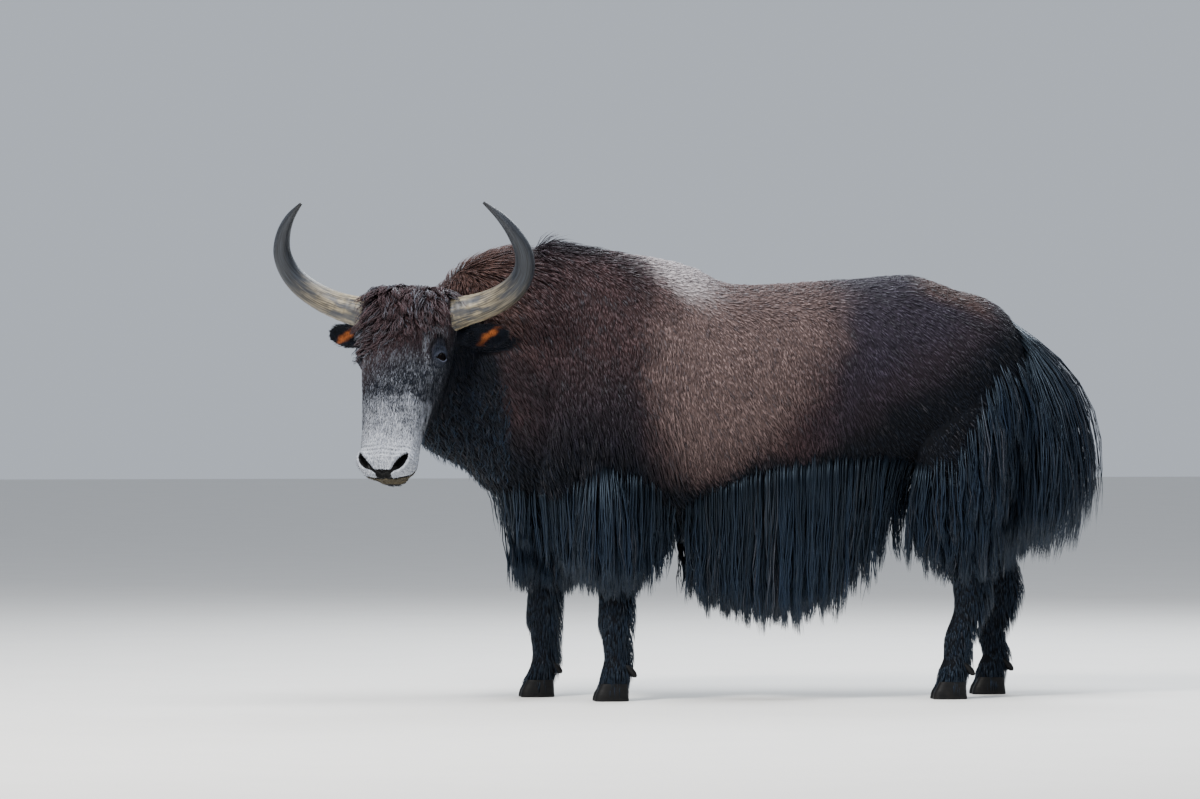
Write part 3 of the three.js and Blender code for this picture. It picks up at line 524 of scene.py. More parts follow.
def sculpt_face(points):
    moved = points.copy()
    for side in (-1, 1):
        u, v, proud = eye_axes(moved, side)
        r = np.hypot(u, v)
        ball = np.sqrt(np.maximum(EYE_RADIUS**2 - r**2, 0))
        almond = np.abs(v) / lid_gap(u)
        rim = bump(np.maximum(almond, 1), 1.25, math.sqrt(0.12)) * (np.abs(u) < LID_REACH + 2)
        lid = np.sqrt(np.maximum((EYE_RADIUS + 2.6) ** 2 - r**2, 0)) + 1.8 * rim
        inner = mix(ball - 7, lid, fade(0.88, 1.12, almond))
        inner = np.where(v < 0, inner + 2.2 * bump(r, 21, 4), inner)
        share = 1 - fade(20, 31, r)
        crease = -2.8 * bump(r, 32, 3.4) - 1.6 * bump(r, 43, 3) * (v > 0)
        brow = eye_socket(moved, side)
        crease += (2.8 * bump(brow, 1.14, 0.1) - 3 * bump(brow, 0.93, 0.08)) * (v < 6)
        near = (np.abs(proud) < 60) & (proud > -8) & (r < 95)
        target = mix(proud + crease, inner, share)
        moved += unit(eye_ahead(side)) * np.where(near, target - proud, 0)[:, None]
    nostril, inward, lips, philtrum = face_marks(moved)
    left, out, down = head_axes(moved)
    hollow = -19 * bump(nostril, 0, 0.85) * fade(0.12, 0.5, inward)
    hollow += 3.6 * bump(nostril, 1.75, 0.5) - 4 * bump(nostril, 0, 0.7)
    groove = -7.5 * bump(lips, 0, 3.4) + 2.6 * bump(lips, 9, 5)
    groove *= fade(LIP_CORNER - 6, LIP_CORNER + 22, down)
    split = -3.2 * bump(philtrum, 0, 0.35)
    wrinkle = muzzle_folds(left, down) * 1.1
    wrinkle *= fade(520, 560, down) * (1 - fade(590, 615, down)) * (out > 10)
    crest = 5 * bump(out - 0.12 * (down - 300), -18, 22) * fade(230, 290, down)
    crest *= (1 - fade(400, 470, down)) * (np.abs(left) > 60)
    hollow_cheek = -5 * bump(out, -62, 30) * fade(300, 360, down) * (1 - fade(470, 540, down))
    bridge = 4 * bump(left, 0, 46) * fade(230, 330, down) * (1 - fade(480, 570, down)) * (out > 0)
    return moved, hollow + groove + split + wrinkle + crest + hollow_cheek + bridge


def normals_of(mesh):
    flat = np.empty(len(mesh.vertices) * 3)
    mesh.vertices.foreach_get("normal", flat)
    return flat.reshape(-1, 3)


def shade_smooth(mesh):
    mesh.polygons.foreach_set("use_smooth", np.ones(len(mesh.polygons), bool))


smooth_hide = drawn(coordinates(skin.data))
facing = normals_of(skin.data)
is_face = (share_of_head(smooth_hide) > 0.5) & (head_axes(smooth_hide)[2] > 60)
moved, swell = sculpt_face(smooth_hide)
lay_out(skin.data, np.where(is_face[:, None], moved + facing * swell[:, None], smooth_hide))
skin.data.update()
shade_smooth(skin.data)


# Eyes. Each is a wet, nearly black brown ball with a wide dark pupil and a thin greyish rim. It is a round
# ball with a slightly raised cornea, seated in its socket behind the two lids of the hide.
class Wire:
    def __init__(self, finish, socket):
        self.finish, self.socket = finish, socket

    def maths(self, operation, *values):
        return self.finish.node("ShaderNodeMath", {"operation": operation}, dict(enumerate(values)))

    def __add__(self, other):
        return self.maths("ADD", self, other)

    def __sub__(self, other):
        return self.maths("SUBTRACT", self, other)

    def __rsub__(self, other):
        return self.maths("SUBTRACT", other, self)

    def __mul__(self, other):
        return self.maths("MULTIPLY", self, other)

    def __truediv__(self, other):
        return self.maths("DIVIDE", self, other)

    def __pow__(self, other):
        return self.maths("POWER", self, other)

    __radd__, __rmul__ = __add__, __mul__


class Finish:
    def __init__(self, name):
        self.material = bpy.data.materials.new(name)
        self.material.use_nodes = True
        self.tree = self.material.node_tree
        self.surface = self.tree.nodes["Principled BSDF"]

    def node(self, kind, settings=None, inputs=None, out=0):
        made = self.tree.nodes.new(kind)
        for key, value in (settings or {}).items():
            if key == "stops":
                while len(made.color_ramp.elements) < len(value):
                    made.color_ramp.elements.new(0.5)
                for element, (place, colour) in zip(made.color_ramp.elements, value):
                    element.position, element.color = place, colour
            else:
                setattr(made, key, value)
        for key, value in (inputs or {}).items():
            self.join(made.inputs[key], value)
        return Wire(self, made.outputs[out])

    def join(self, socket, value):
        if isinstance(value, Wire):
            self.tree.links.new(value.socket, socket)
        else:
            socket.default_value = value

    def mark(self, name):
        return self.node("ShaderNodeAttribute", {"attribute_name": name}, out="Fac")

    def noise(self, scale, detail=2.0, at=None, **inputs):
        given = {"Scale": scale, "Detail": detail, **inputs}
        if at is not None:
            given["Vector"] = at
        return self.node("ShaderNodeTexNoise", {}, given, out="Fac")

    def spot(self):
        return self.node("ShaderNodeTexCoord", out="Object")

    def stretched(self, place, *scale):
        return self.node("ShaderNodeMapping", {}, {"Vector": place, "Scale": scale})

    def ramp(self, value, *stops):
        greys = [(place, (grey, grey, grey, 1)) for place, grey in stops]
        return self.node("ShaderNodeValToRGB", {"stops": greys}, {"Fac": value})

    def blend(self, share, first, second, kind="MIX"):
        settings = {"data_type": "RGBA", "blend_type": kind, "clamp_factor": True}
        return self.node("ShaderNodeMix", settings, {0: share, 6: first, 7: second}, out=2)

    def over(self, under, colour, value, low, high, most=1):
        return self.blend(self.ramp(value, (low, 0), (high, most)), under, colour)

    def dimmed(self, colour, share):
        grey = self.node("ShaderNodeCombineColor", {}, {0: share, 1: share, 2: share})
        return self.blend(1.0, colour, grey, kind="MULTIPLY")

    def relief(self, height, strength, distance):
        inputs = {"Strength": strength, "Distance": distance, "Height": height}
        return self.node("ShaderNodeBump", {}, inputs)

    def set(self, **values):
        for key, value in values.items():
            self.join(self.surface.inputs[key.replace("_", " ")], value)
        return self.material


def shade(red, green, blue):
    parts = [part / 255 for part in (red, green, blue)]
    return (*[part / 12.92 if part <= 0.04045 else ((part + 0.055) / 1.055) ** 2.4 for part in parts], 1)


def note(mesh, name, values):
    marks = mesh.attributes.new(name, "FLOAT", "POINT").data
    marks.foreach_set("value", np.asarray(values, np.float32).ravel())


CORNEA_RISE, RIM_ANGLE = 0.03, 1.1

eye_finish = Finish("wet eye")
gaze = eye_finish.mark("gaze")
rays = eye_finish.noise(9, 4, at=eye_finish.spot())
iris = eye_finish.blend(rays, shade(5, 3, 3), shade(13, 8, 7))
ball = eye_finish.over(shade(3, 2, 3), iris, gaze, 0.3, 0.42)
ball = eye_finish.over(ball, shade(22, 18, 19), gaze, 0.8, 0.95)
eye_finish.set(Base_Color=ball, Roughness=0.04, Specular_IOR_Level=0.05)
for side, node in ((1, "eye_left"), (-1, "eye_right")):
    bm = bmesh.new()
    bmesh.ops.create_uvsphere(bm, u_segments=48, v_segments=32, radius=EYE_RADIUS / 1000)
    mesh = mesh_of(bm, node)
    centre = placed(on_head(side * EYE_LEFT, EYE_OUT, EYE_DOWN))[0]
    ball_points = coordinates(mesh)
    ahead = unit(ball_points) @ eye_ahead(side)
    cornea = 1 + CORNEA_RISE * fade(0.72, 0.9, ahead)
    mesh.vertices.foreach_set("co", (ball_points * cornea[:, None] + centre).ravel())
    shade_smooth(mesh)
    note(mesh, "gaze", np.arccos(np.clip(ahead, -1, 1)) / RIM_ANGLE)
    mesh.materials.append(eye_finish.material)
    eye = piece_of(node + "_wet", mesh)
    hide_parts(node)

# Horns. Bone cores under a sheath of horn, ringed and weathered pale near the head and slate dark at the
# tips. They leave the hair sideways and sweep up, forward and in.
HORN_LINE = [
    (150, 0, -16), (200, 0, 0), (265, 0, 17), (338, 6, 48), (400, 26, 92),
    (438, 56, 146), (447, 98, 208), (426, 140, 272), (388, 176, 328), (337, 204, 376),
]
HORN_RADII = [56, 53, 49, 45, 41, 36, 31, 24.5, 16, 5]

horn_finish = Finish("weathered horn")
turn_x, turn_y, length = [horn_finish.mark(mark) for mark in ("turn_x", "turn_y", "length")]


def wrapped(across, down):
    place = {0: turn_x * across, 1: turn_y * across, 2: length * down}
    return horn_finish.node("ShaderNodeCombineXYZ", {}, place)


grain = horn_finish.noise(2.6, 6, at=wrapped(5.0, 3.2))
ring = horn_finish.noise(1.0, 3, at=wrapped(0.7, 34.0))
patches = horn_finish.noise(1.5, 3, at=wrapped(1.0, 5.0))
pale = horn_finish.over(shade(48, 43, 36), shade(136, 125, 102), grain, 0.38, 0.62)
pale = horn_finish.over(pale, shade(44, 50, 60), patches, 0.5, 0.62, 0.75)
pale = horn_finish.over(pale, shade(46, 40, 32), ring, 0.54, 0.68, 0.35)
slate = horn_finish.over(shade(9, 12, 17), shade(44, 48, 55), grain, 0.35, 0.65)
sheath = horn_finish.over(pale, slate, length + patches * 0.2, 0.3, 0.62)
sheath = horn_finish.over(sheath, shade(24, 24, 26), length, 0.9, 1.0)
relief = horn_finish.relief(grain * 0.5 + ring * (1 - length), 0.5, 0.003)
horn_finish.set(Base_Color=sheath, Roughness=grain * 0.2 + 0.36, Normal=relief, Specular_IOR_Level=0.35)


def horn_points(side):
    bone = np.array([beside_head(side, place) for place in HORN_LINE])
    tangent = unit(np.gradient(bone, axis=0))
    rise = unit(HEADING - tangent * (tangent @ HEADING)[:, None])
    across = np.cross(rise, tangent)
    cores = zip(bone, across, rise, HORN_RADII)
    return [section(*parts, radius, radius, radius) for *parts, radius in cores]


def ringed(rows, t, angle, grow):
    swell = 0.9 * np.sin(t * 150 + 0.6 * np.sin(angle)) * np.exp(-t * 5) + 0.5 * np.sin(angle * 9 + t * 7)
    return on_sections(rows, t, angle, grow + swell * (1 - t))


for side, node in ((1, "horn_left"), (-1, "horn_right")):
    mesh = straight_tube(node, 48, 170)
    for mark, values in zip(("turn_x", "turn_y", "length"), (coordinates(mesh) + [0, 0, 0.5]).T):
        note(mesh, mark, values)
    bent(mesh, horn_points(side), shape=ringed)
    shade_smooth(mesh)
    mesh.materials.append(horn_finish.material)
    horn = piece_of(node + "_sheath", mesh)
    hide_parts(node)

# Claws. Two claws of hard dark horn under each foot, with a cleft between them, and two dew claws that
# hang behind the pastern.
CLAW_LENGTH, CLAW_WIDE, CLAW_APART, CLAW_HEIGHT = 122, 54, 29, 62
CLAW = [(0, -14, 9), (0.3, -9, 5), (0.6, -3, 1), (0.93, 0.5, 0), (1, -2, 0)]
DEW_CLAW = [(130, 0.6, -20), (122, 0.85, -12), (108, 1, 0), (92, 0.85, 9), (84, 0.35, 13)]
EDGE_ROUND = 0.003
HOOFS = {"fore_left": -332, "fore_right": -556, "hind_left": 878, "hind_right": 1080}

claw_finish = Finish("claw horn")
spot = claw_finish.spot()
band = claw_finish.noise(1, 3, at=claw_finish.stretched(spot, 12, 12, 160))
dust = claw_finish.noise(40, 5, at=spot)
wall = claw_finish.over(shade(3, 3, 4), shade(10, 10, 11), band, 0.4, 0.62)
wall = claw_finish.over(wall, shade(21, 19, 17), dust, 0.52, 0.7, 0.6)
relief = claw_finish.relief(band + dust * 0.4, 0.6, 0.002)
claw_finish.set(Base_Color=wall, Roughness=dust * 0.25 + 0.42, Normal=relief, Specular_IOR_Level=0.2)


def claw_rows(hoof, y):
    rows = []
    for share, grow, shift in CLAW:
        z = CLAW_HEIGHT * (1 - share)
        reach, wide = CLAW_LENGTH / 2 + grow, CLAW_WIDE / 2 + grow / 4
        rows.append(section([hoof - 10 + shift, y, z], [0, 1, 0], [1, 0, 0], wide, reach, reach, 2.2, 2.6))
    return rows


def dew_rows(hoof, y):
    return [
        section([hoof + 58 + shift, y, z], [0.2, 1, 0], [1, -0.2, 0], 13 * size, 15 * size, 15 * size)
        for z, size, shift in DEW_CLAW
    ]


for name, hoof in HOOFS.items():
    sign = -1 if name.endswith("left") else 1
    whole = bmesh.new()
    for apart in (-CLAW_APART, CLAW_APART):
        whole.from_mesh(loft("claw", claw_rows(hoof, sign * (FOOT_REACH + apart)), 40, 24))
        whole.from_mesh(loft("dew claw", dew_rows(hoof, sign * (FOOT_REACH + apart * 1.15)), 20, 14))
    mesh = mesh_of(whole, "claws")
    shade_smooth(mesh)
    mesh.materials.append(claw_finish.material)
    claws = piece_of("claws_" + name, mesh)
    edge = claws.modifiers.new("worn edge", "BEVEL")
    edge.width, edge.segments = EDGE_ROUND, 2
    edge.limit_method, edge.angle_limit = "ANGLE", math.radians(50)
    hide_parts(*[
        f"{kind}_{name}_{place}" for kind in ("claw", "dewclaw") for place in ("inner", "outer")
    ])

# Coat. The whole animal is under hair: short and close on the face and shanks, woolly over the ribs,
# shaggy on the shoulders and hump, and very long and black in the skirt, on the legs and on the tail. Every
# tuft is a thin tapered blade with its root in the skin, and lies the way that the hair grows there.
bpy.context.view_layer.objects.active = skin
skin.select_set(True)
skin.data.uv_layers.new(name="OFBake")
bpy.ops.object.mode_set(mode="EDIT")
bpy.ops.mesh.select_all(action="SELECT")
bpy.ops.uv.smart_project(angle_limit=math.radians(62), island_margin=0.0008)
bpy.ops.object.mode_set(mode="OBJECT")
chance = np.random.default_rng(41)


def ripple(points, size):
    x, y, z = (points / size).T
    along_x, up_z = np.sin(x + 1.3 * np.sin(z * 0.7)), np.sin(z * 1.1 + 1.7 * np.sin(y * 0.8))
    return (along_x + up_z + np.sin(y + x * 0.6)) / 3


BLACK_BELOW = [
    (-1100, 1470), (-1000, 1450), (-900, 1420), (-820, 1370), (-770, 1290), (-735, 1060),
    (-690, 970), (-620, 940), (-560, 960), (-430, 1000), (-300, 970), (-170, 880), (-70, 750),
    (70, 800), (140, 845), (215, 866), (350, 877), (430, 900), (520, 1010), (640, 1110),
    (720, 1150), (820, 1200), (900, 1260), (1000, 1340), (1100, 1440), (1300, 1500),
]
BLACK_EDGE = [
    (-780, 120), (-735, 150), (-600, 130), (-170, 130), (-60, 34), (380, 34), (540, 120),
    (820, 150),
]
RIBS_END = [(870, 160), (1000, 260), (1150, 350), (1300, 430), (1420, 450), (1520, 410)]
BACK_LINE = [
    (-1000, 1400), (-700, 1590), (-560, 1645), (-430, 1630), (-150, 1590), (60, 1505), (290, 1495),
    (760, 1520), (900, 1480), (1080, 1400),
]
FROST = [(150, 0.14), (215, 0.28), (345, 0.29), (368, 0.48), (470, 0.58), (545, 0.8), (680, 0.95)]


def read_off(line, at):
    return np.interp(at, *zip(*line))


def inside_ear(points, side):
    far, ahead, over = ear_axes(points, side)
    hollow = -EAR_THICK * np.sqrt(np.maximum(1 - (over / EAR_WIDE) ** 2, 0))
    oval = np.hypot((far - 122) / 44, (over - 0.55 * (far - 122)) / 17) + 0.35 * ripple(points, 6)
    return fade(1.2, 0.35, oval) * fade(2, 5, ahead - hollow) * (np.abs(ahead) < 40)


def ragged(points):
    return ripple(points, 38) * 26 + ripple(points, 13) * 12


def body_marks(points, body):
    x, _, z = points.T
    edge = ragged(points)
    low = z - read_off(BLACK_BELOW, x)
    brown = fade(-1, 1, (low + edge) / read_off(BLACK_EDGE, x)) * body
    # Painted shade over the shoulders: random dark patches for the shadows of its muscles, and the lower
    # shoulder darkened by half.
    brown *= 1 - 0.4 * fade(0.05, 0.75, ripple(points, 62)) * fade(-140, -260, x)
    brown *= 1 - 0.5 * fade(1290, 1090, z + edge) * fade(-190, -290, x + edge) * fade(-700, -560, x)
    ribs = fade(-300, mix(-110, 20, fade(1250, 1450, z)), x + edge)
    ribs *= fade(130, -110, x + edge - read_off(RIBS_END, z))
    # Painted shade: the pale rib tone is halved towards the black edge below, on the lower flank.
    ribs *= brown * fade(1560, 1420, z) * (0.5 + 0.5 * fade(10, 170, low))
    below = read_off(BACK_LINE, x) - z
    # Painted highlight: a pale silvery patch on the top of the back behind the hump, brightest near the
    # back line, where the light falls from above.
    silver = bump(x, 0.5 * below - 140, 185 - 0.45 * below) * fade(235, 30, below) * brown
    dark = fade(80, 20, below) * fade(-330, -420, x) * fade(-770, -690, x)
    # Painted shade: a dark patch in front of the top of the hip, and a soft dark band down the hollow
    # between ribs and hip.
    dark = np.maximum(dark, 0.8 * bump(x + edge, 555, 60) * bump(z + edge, 1425, 75))
    dark = np.maximum(dark, 0.55 * bump(x + edge, 490 + 0.15 * (z - 1200), 55) * fade(880, 960, z))
    rust = fade(-600, -760, x) * fade(1180, 1330, z) * brown
    # Painted highlight: a pale reddish rim along the top of the hip, folded into one mark with the real
    # reddish hair on the front of the hump.
    rim = fade(110, 40, below) * fade(700, 840, x) * fade(1060, 960, x)
    hip = fade(230, 620, x + edge) * brown * (1 - rim)
    # Painted sheen: a patch of the plum tone on the lower shoulder stands in for a cool sheen there.
    hip = np.maximum(hip, 0.75 * brown * bump(x + edge, -430, 190) * bump(z + edge, 950, 120))
    return {
        "brown": brown * (1 - 0.75 * dark), "ribs": ribs, "silver": silver, "hip": hip,
        "rust": np.maximum(rust * 0.8, rim * 0.75),
    }


def markings(points):
    head = share_of_head(points)
    marks = body_marks(points, 1 - head)
    left, out, down = head_axes(points)
    poll = head * fade(330, 120, down + ragged(points) + 0.6 * left) * fade(-50, 30, out)
    marks["brown"] = np.maximum(marks["brown"], poll * 0.8)
    face = head * fade(-95, -25, out + 40 * fade(420, 560, down))
    frost = face * read_off(FROST, down + 14 * ripple(points, 16))
    frost *= 1 + 0.22 * ripple(points, 7) * fade(600, 480, down)
    # Painted shade: the white of the muzzle is dimmed in the hollows of its folds.
    frost *= 1 - 0.3 * fade(0.2, 0.9, -muzzle_folds(left, down)) * bump(down, 565, 40) * (out > 10)
    grizzle = head * bump(down, 60, 110) * fade(40, 90, out) * 0.08
    nostril, _, lips, _ = face_marks(points)
    nose = fade(32, 24, np.abs(left)) * fade(618, 630, down) * fade(-2, 4, out) * (out < 44)
    marks["bare"] = head * np.maximum.reduce([fade(1.35, 1.0, nostril), fade(7, 4, lips), nose])
    chin = head * fade(0, -6, out - np.interp(down, LIP_DOWN[1:5], LIP_OUT[1:5])) * fade(520, 570, down)
    # Painted highlight: a pale blue-grey line along the wet edge of each lower lid.
    lower_rim = np.zeros(len(points))
    for side in (-1, 1):
        u, v, proud = eye_axes(points, side)
        on_lid = (np.abs(u) < LID_REACH) & (np.abs(proud) < 50) & (v > 2)
        lower_rim += bump(v / lid_gap(u), 1.16, 0.13) * on_lid
    around = np.min([eye_socket(points, side) for side in (-1, 1)], axis=0)
    frost = np.maximum(frost, 0.42 * head * bump(around, 1.5, 0.36) * fade(10, 40, out))
    return marks | {
        "frost": np.maximum(frost * (1 - chin), grizzle),
        "chin": chin,
        "socket": head * fade(1.15, 0.6, around),
        # Painted shade: a near-black line along the crease round the eye socket.
        "crease": head * bump(around, 1.06, 0.1) * fade(235, 200, down) * fade(0, 16, out),
        "lower_rim": lower_rim * head,
        "ember": np.max([inside_ear(points, side) for side in (-1, 1)], axis=0),
    }


def read_out(items, name, kind, each):
    flat = np.empty(len(items) * each, kind)
    items.foreach_get(name, flat)
    return flat.reshape(-1, each)


skin.data.calc_loop_triangles()
corners = read_out(skin.data.loop_triangles, "vertices", np.int32, 3)
loops = read_out(skin.data.loop_triangles, "loops", np.int32, 3)
unwrap = read_out(skin.data.uv_layers["OFBake"].data, "uv", float, 2)
hide, hide_out = drawn(coordinates(skin.data)), normals_of(skin.data)
spans = np.cross(hide[corners[:, 1]] - hide[corners[:, 0]], hide[corners[:, 2]] - hide[corners[:, 0]])
areas, middle_out, middles = np.linalg.norm(spans, axis=1) / 2, unit(spans), hide[corners].mean(1)
smooth_middles = smooth_hide[corners].mean(1)
for name, values in markings(smooth_hide).items():
    note(skin.data, name, values)
note(skin.data, "close", share_of_head(hide))


class Roots:
    def __init__(self, weight, count):
        total = np.cumsum(areas * weight)
        pick = np.searchsorted(total, (np.arange(count) + chance.random(count)) / count * total[-1])
        pick = np.minimum(pick, len(areas) - 1)
        a, b = np.sqrt(chance.random(count)), chance.random(count)
        share = np.c_[1 - a, a * (1 - b), a * b][:, :, None]
        self.at, self.marked, out, self.unwrapped = [
            (values[pick] * share).sum(1)
            for values in (hide[corners], smooth_hide[corners], hide_out[corners], unwrap[loops])
        ]
        self.out, self.count = unit(out), count

    def vary(self, value, share):
        return value * (1 + share * (2 * chance.random(self.count) - 1))

    def flat(self, way):
        way = np.broadcast_to(np.asarray(way, float), self.at.shape)
        return unit(way - self.out * (way * self.out).sum(1, keepdims=True))

    def clumps(self, spacing):
        cells = self.at / spacing + 0.35 * np.sin(self.at[:, [1, 2, 0]] / spacing * 2.3)
        return np.unique(np.floor(cells).astype(int), axis=0, return_inverse=True)[1].ravel()


def gathered(paths, clump):
    size = np.bincount(clump)
    middle = np.stack([
        np.bincount(clump, paths[:, i, k]) / size for i in range(paths.shape[1]) for k in range(3)
    ], axis=1).reshape(len(size), paths.shape[1], 3)
    return middle[clump]


FULL_TURN = 6.28
LOWEST_HAIR = 9
BAKED_TUFT = 0.003


def hair(name, roots, first, fall, length, wide, thick, steps, finish, rise=0.3, curl=0.0, waves=1.5,
         clump=None, pull=0.0, sink=3.0, nodes=(), marked_below=0.0):
    n = roots.count

    def each(values):
        return np.broadcast_to(np.asarray(values, float), n)[:, None, None]

    s = np.linspace(0, 1, steps + 1)
    t = s[None, :, None]
    start = unit(first + roots.out * each(rise)[:, 0])[:, None]
    end = unit(np.broadcast_to(fall, roots.at.shape))[:, None]
    droop = start * (t - t * t / 2) + end * t * t / 2
    paths = (roots.at - roots.out * sink)[:, None] + each(length) * droop
    side = unit(np.cross(first, roots.out))[:, None]
    phase = each(chance.random(n) * FULL_TURN)
    wave = FULL_TURN * waves * t + phase
    paths = paths + side * (each(curl) * np.sin(wave) * t)
    paths = paths + roots.out[:, None] * each(curl) * 0.6 * np.cos(wave) * t
    if clump is not None:
        paths = paths + (gathered(paths, clump) - paths) * each(pull) * t**1.5
    paths[:, :, 2] = np.maximum(paths[:, :, 2], LOWEST_HAIR)
    ahead = unit(np.gradient(paths, axis=1))
    broad = unit(np.cross(ahead, roots.out[:, None] + side * each(chance.random(n) - 0.5)))
    facing = np.cross(broad, ahead)
    taper = np.sqrt(1 - t) * (0.75 + 0.5 * t)
    per = steps * 3 + 1
    points = np.empty((n, per, 3))
    for corner, angle in enumerate((math.pi / 2, math.pi * 7 / 6, math.pi * 11 / 6)):
        ring = broad * math.cos(angle) * each(wide) / 2 + facing * math.sin(angle) * each(thick) / 2
        points[:, corner : per - 1 : 3] = (paths + ring * taper)[:, :-1]
    points[:, -1] = paths[:, -1]
    faces = [(0, 1, 2)]
    for i in range(0, per - 4, 3):
        faces += [(i + k, i + k + 3, i + (k + 1) % 3 + 3, i + (k + 1) % 3) for k in range(3)]
    faces += [(per - 4 + k, per - 1, per - 4 + (k + 1) % 3) for k in range(3)]
    pattern = np.concatenate([np.array(f) for f in faces])
    starts = np.cumsum([0] + [len(f) for f in faces[:-1]])
    tuft = np.arange(n)[:, None]
    mesh = bpy.data.meshes.new(name)
    mesh.vertices.add(n * per)
    mesh.loops.add(n * len(pattern))
    mesh.polygons.add(n * len(faces))
    lay_out(mesh, points.reshape(-1, 3))
    mesh.loops.foreach_set("vertex_index", (pattern + tuft * per).ravel())
    mesh.polygons.foreach_set("loop_start", (starts + tuft * len(pattern)).ravel())
    shade_smooth(mesh)
    mesh.update(calc_edges=True)
    level = np.append(np.repeat(s[:-1], 3), 1.0)
    local = np.c_[np.append(np.tile([0.5, 0.0, 1.0], steps), 0.5), level][pattern]
    baked = roots.unwrapped[:, None] + BAKED_TUFT * (local - 0.5)
    mesh.uv_layers.new(name="OFBake").data.foreach_set("uv", baked.ravel())
    grain = local[None] * np.concatenate([each(1), each(length) / 60], axis=2)
    grain = grain + chance.random((n, 1, 2)) * 50
    mesh.uv_layers.new(name="strands").data.foreach_set("uv", grain.ravel())
    for mark, values in markings(roots.marked - UP * marked_below).items():
        note(mesh, mark, np.repeat(values, per))
    tints = chance.random(n)
    if clump is not None:
        tints = 0.5 + 0.62 * (tints - 0.5) + 0.62 * (chance.random(clump.max() + 1)[clump] - 0.5)
    note(mesh, "tint", np.repeat(tints, per))
    note(mesh, "tip", np.tile(level, n))
    mesh.materials.append(finish.material)
    piece = piece_of(name, mesh)
    if nodes:
        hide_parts(*nodes)


# Black hair runs at random, strand by strand, from near black to a blue-grey; that light end is a painted
# cool sheen.
BLACK_PAINTED_SHEEN = shade(26, 32, 44)
TONES = [
    ("brown", (26, 18, 20), (80, 59, 60)),
    ("hip", (18, 15, 20), (66, 58, 72)),
    ("ribs", (58, 45, 45), (138, 116, 112)),
    # Real reddish hair on the front of the hump, and a painted highlight along the top of the hip.
    ("rust", (40, 27, 25), (100, 74, 66)),
    # Painted highlight on the top of the back behind the hump.
    ("silver", (132, 121, 121), (228, 220, 222)),
    ("chin", (46, 41, 32), (92, 84, 66)),
    ("frost", (92, 96, 110), (206, 210, 217)),
    ("socket", (15, 17, 23), (46, 51, 64)),
    # Painted shade in the crease round the eye socket.
    ("crease", (6, 8, 12), (6, 8, 12)),
    # Painted highlight on the wet edge of the lower lids.
    ("lower_rim", (84, 88, 104), (84, 88, 104)),
    ("ember", (100, 47, 18), (198, 114, 60)),
]
STREAKED = {"silver": (0.6, 1.7, 0.16), "frost": (0.8, 2.5, 0.25)}


def hair_colour(finish, tint, painted_sheen):
    # The black base is mixed per strand towards the painted cool sheen.
    colour = finish.blend(tint**1.6, shade(3, 3, 6), painted_sheen)
    for name, dark, light in TONES:
        share = finish.mark(name)
        if name in STREAKED:
            spread, sharp, lift = STREAKED[name]
            share = finish.ramp((share - tint * spread) * sharp + lift, (0, 0), (1, 1))
        colour = finish.blend(share, colour, finish.blend(tint, shade(*dark), shade(*light)))
    return finish.over(colour, shade(5, 5, 6), finish.mark("bare"), 0.15, 0.6)


def hair_finish(name, gloss, gleam, painted_sheen):
    finish = Finish(name)
    lie = finish.node("ShaderNodeUVMap", {"uv_map": "strands"})
    fine = finish.noise(1.0, 3, at=finish.stretched(lie, 9, 0.7, 1))
    tint = finish.mark("tint") * 0.8 + fine * 1.4 - 0.6
    tone = hair_colour(finish, finish.ramp(tint, (0, 0), (1, 1)), painted_sheen)
    # Painted shade: every tuft is darkened towards its root, where the hair round it would shade it.
    depth = finish.ramp(finish.mark("tip"), (0.0, 0.16), (0.4, 0.72), (0.85, 1.0))
    finish.set(Base_Color=finish.dimmed(tone, depth), Roughness=fine * 0.2 + 0.34,
               Normal=finish.relief(fine, 0.35, 0.001), Specular_IOR_Level=gloss, Specular_Tint=gleam)
    return finish


# Each hair finish is given the blue-grey of its painted cool sheen.
coat_finish = hair_finish("woolly coat", 0.2, (0.85, 0.9, 1.0, 1), BLACK_PAINTED_SHEEN)
long_finish = hair_finish("long black hair", 0.5, (0.55, 0.76, 1.0, 1), shade(24, 34, 52))

skin_finish = Finish("hide and short hair")
spot = skin_finish.spot()
fibre = skin_finish.noise(240, 3, at=skin_finish.stretched(spot, 1, 1, 0.35))
tint = skin_finish.ramp(fibre * 1.5 + skin_finish.noise(26, 3, at=spot) * 0.5 - 0.5, (0.1, 0), (0.9, 1))
# Painted shade: the hide is darkened to 0.4 under the coat of body and legs, and to 0.85 on the head, as if
# shaded by the hair over it.
depth = skin_finish.mark("close") * 0.45 + 0.4
tone = skin_finish.dimmed(hair_colour(skin_finish, tint, BLACK_PAINTED_SHEEN), depth)
bare = skin_finish.mark("bare")
nap = skin_finish.relief(fibre * (1 - bare * 0.8), 0.5, 0.002)
skin_finish.set(Base_Color=tone, Roughness=0.72 - bare * 0.3, Normal=nap, Specular_IOR_Level=0.08)
skin.data.materials.append(skin_finish.material)
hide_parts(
    "head", "neck", "forequarters", "brisket", "barrel", "hindquarters",
    *[f"{kind}leg_{half}_{side}" for kind in ("fore", "hind") for half in ("upper", "lower")
      for side in ("left", "right")],
)
x, y, z = middles.T
head_left, head_out, head_down = head_axes(middles)
head_part = share_of_head(middles)
ear_part = by_ears(middles, 14, 48, 60).astype(float)
face_part = head_part * (1 - ear_part)
DOCK_FRONT = [(900, 1160), (1060, 1168), (1185, 1165), (1300, 1130), (1400, 1085)]
dock_part = (x > 1060) * (np.abs(y) < 60) * (z < 1395) * fade(0, 12, x - read_off(DOCK_FRONT, z))
shank_part = fade(470, 430, z) * (1 - head_part)
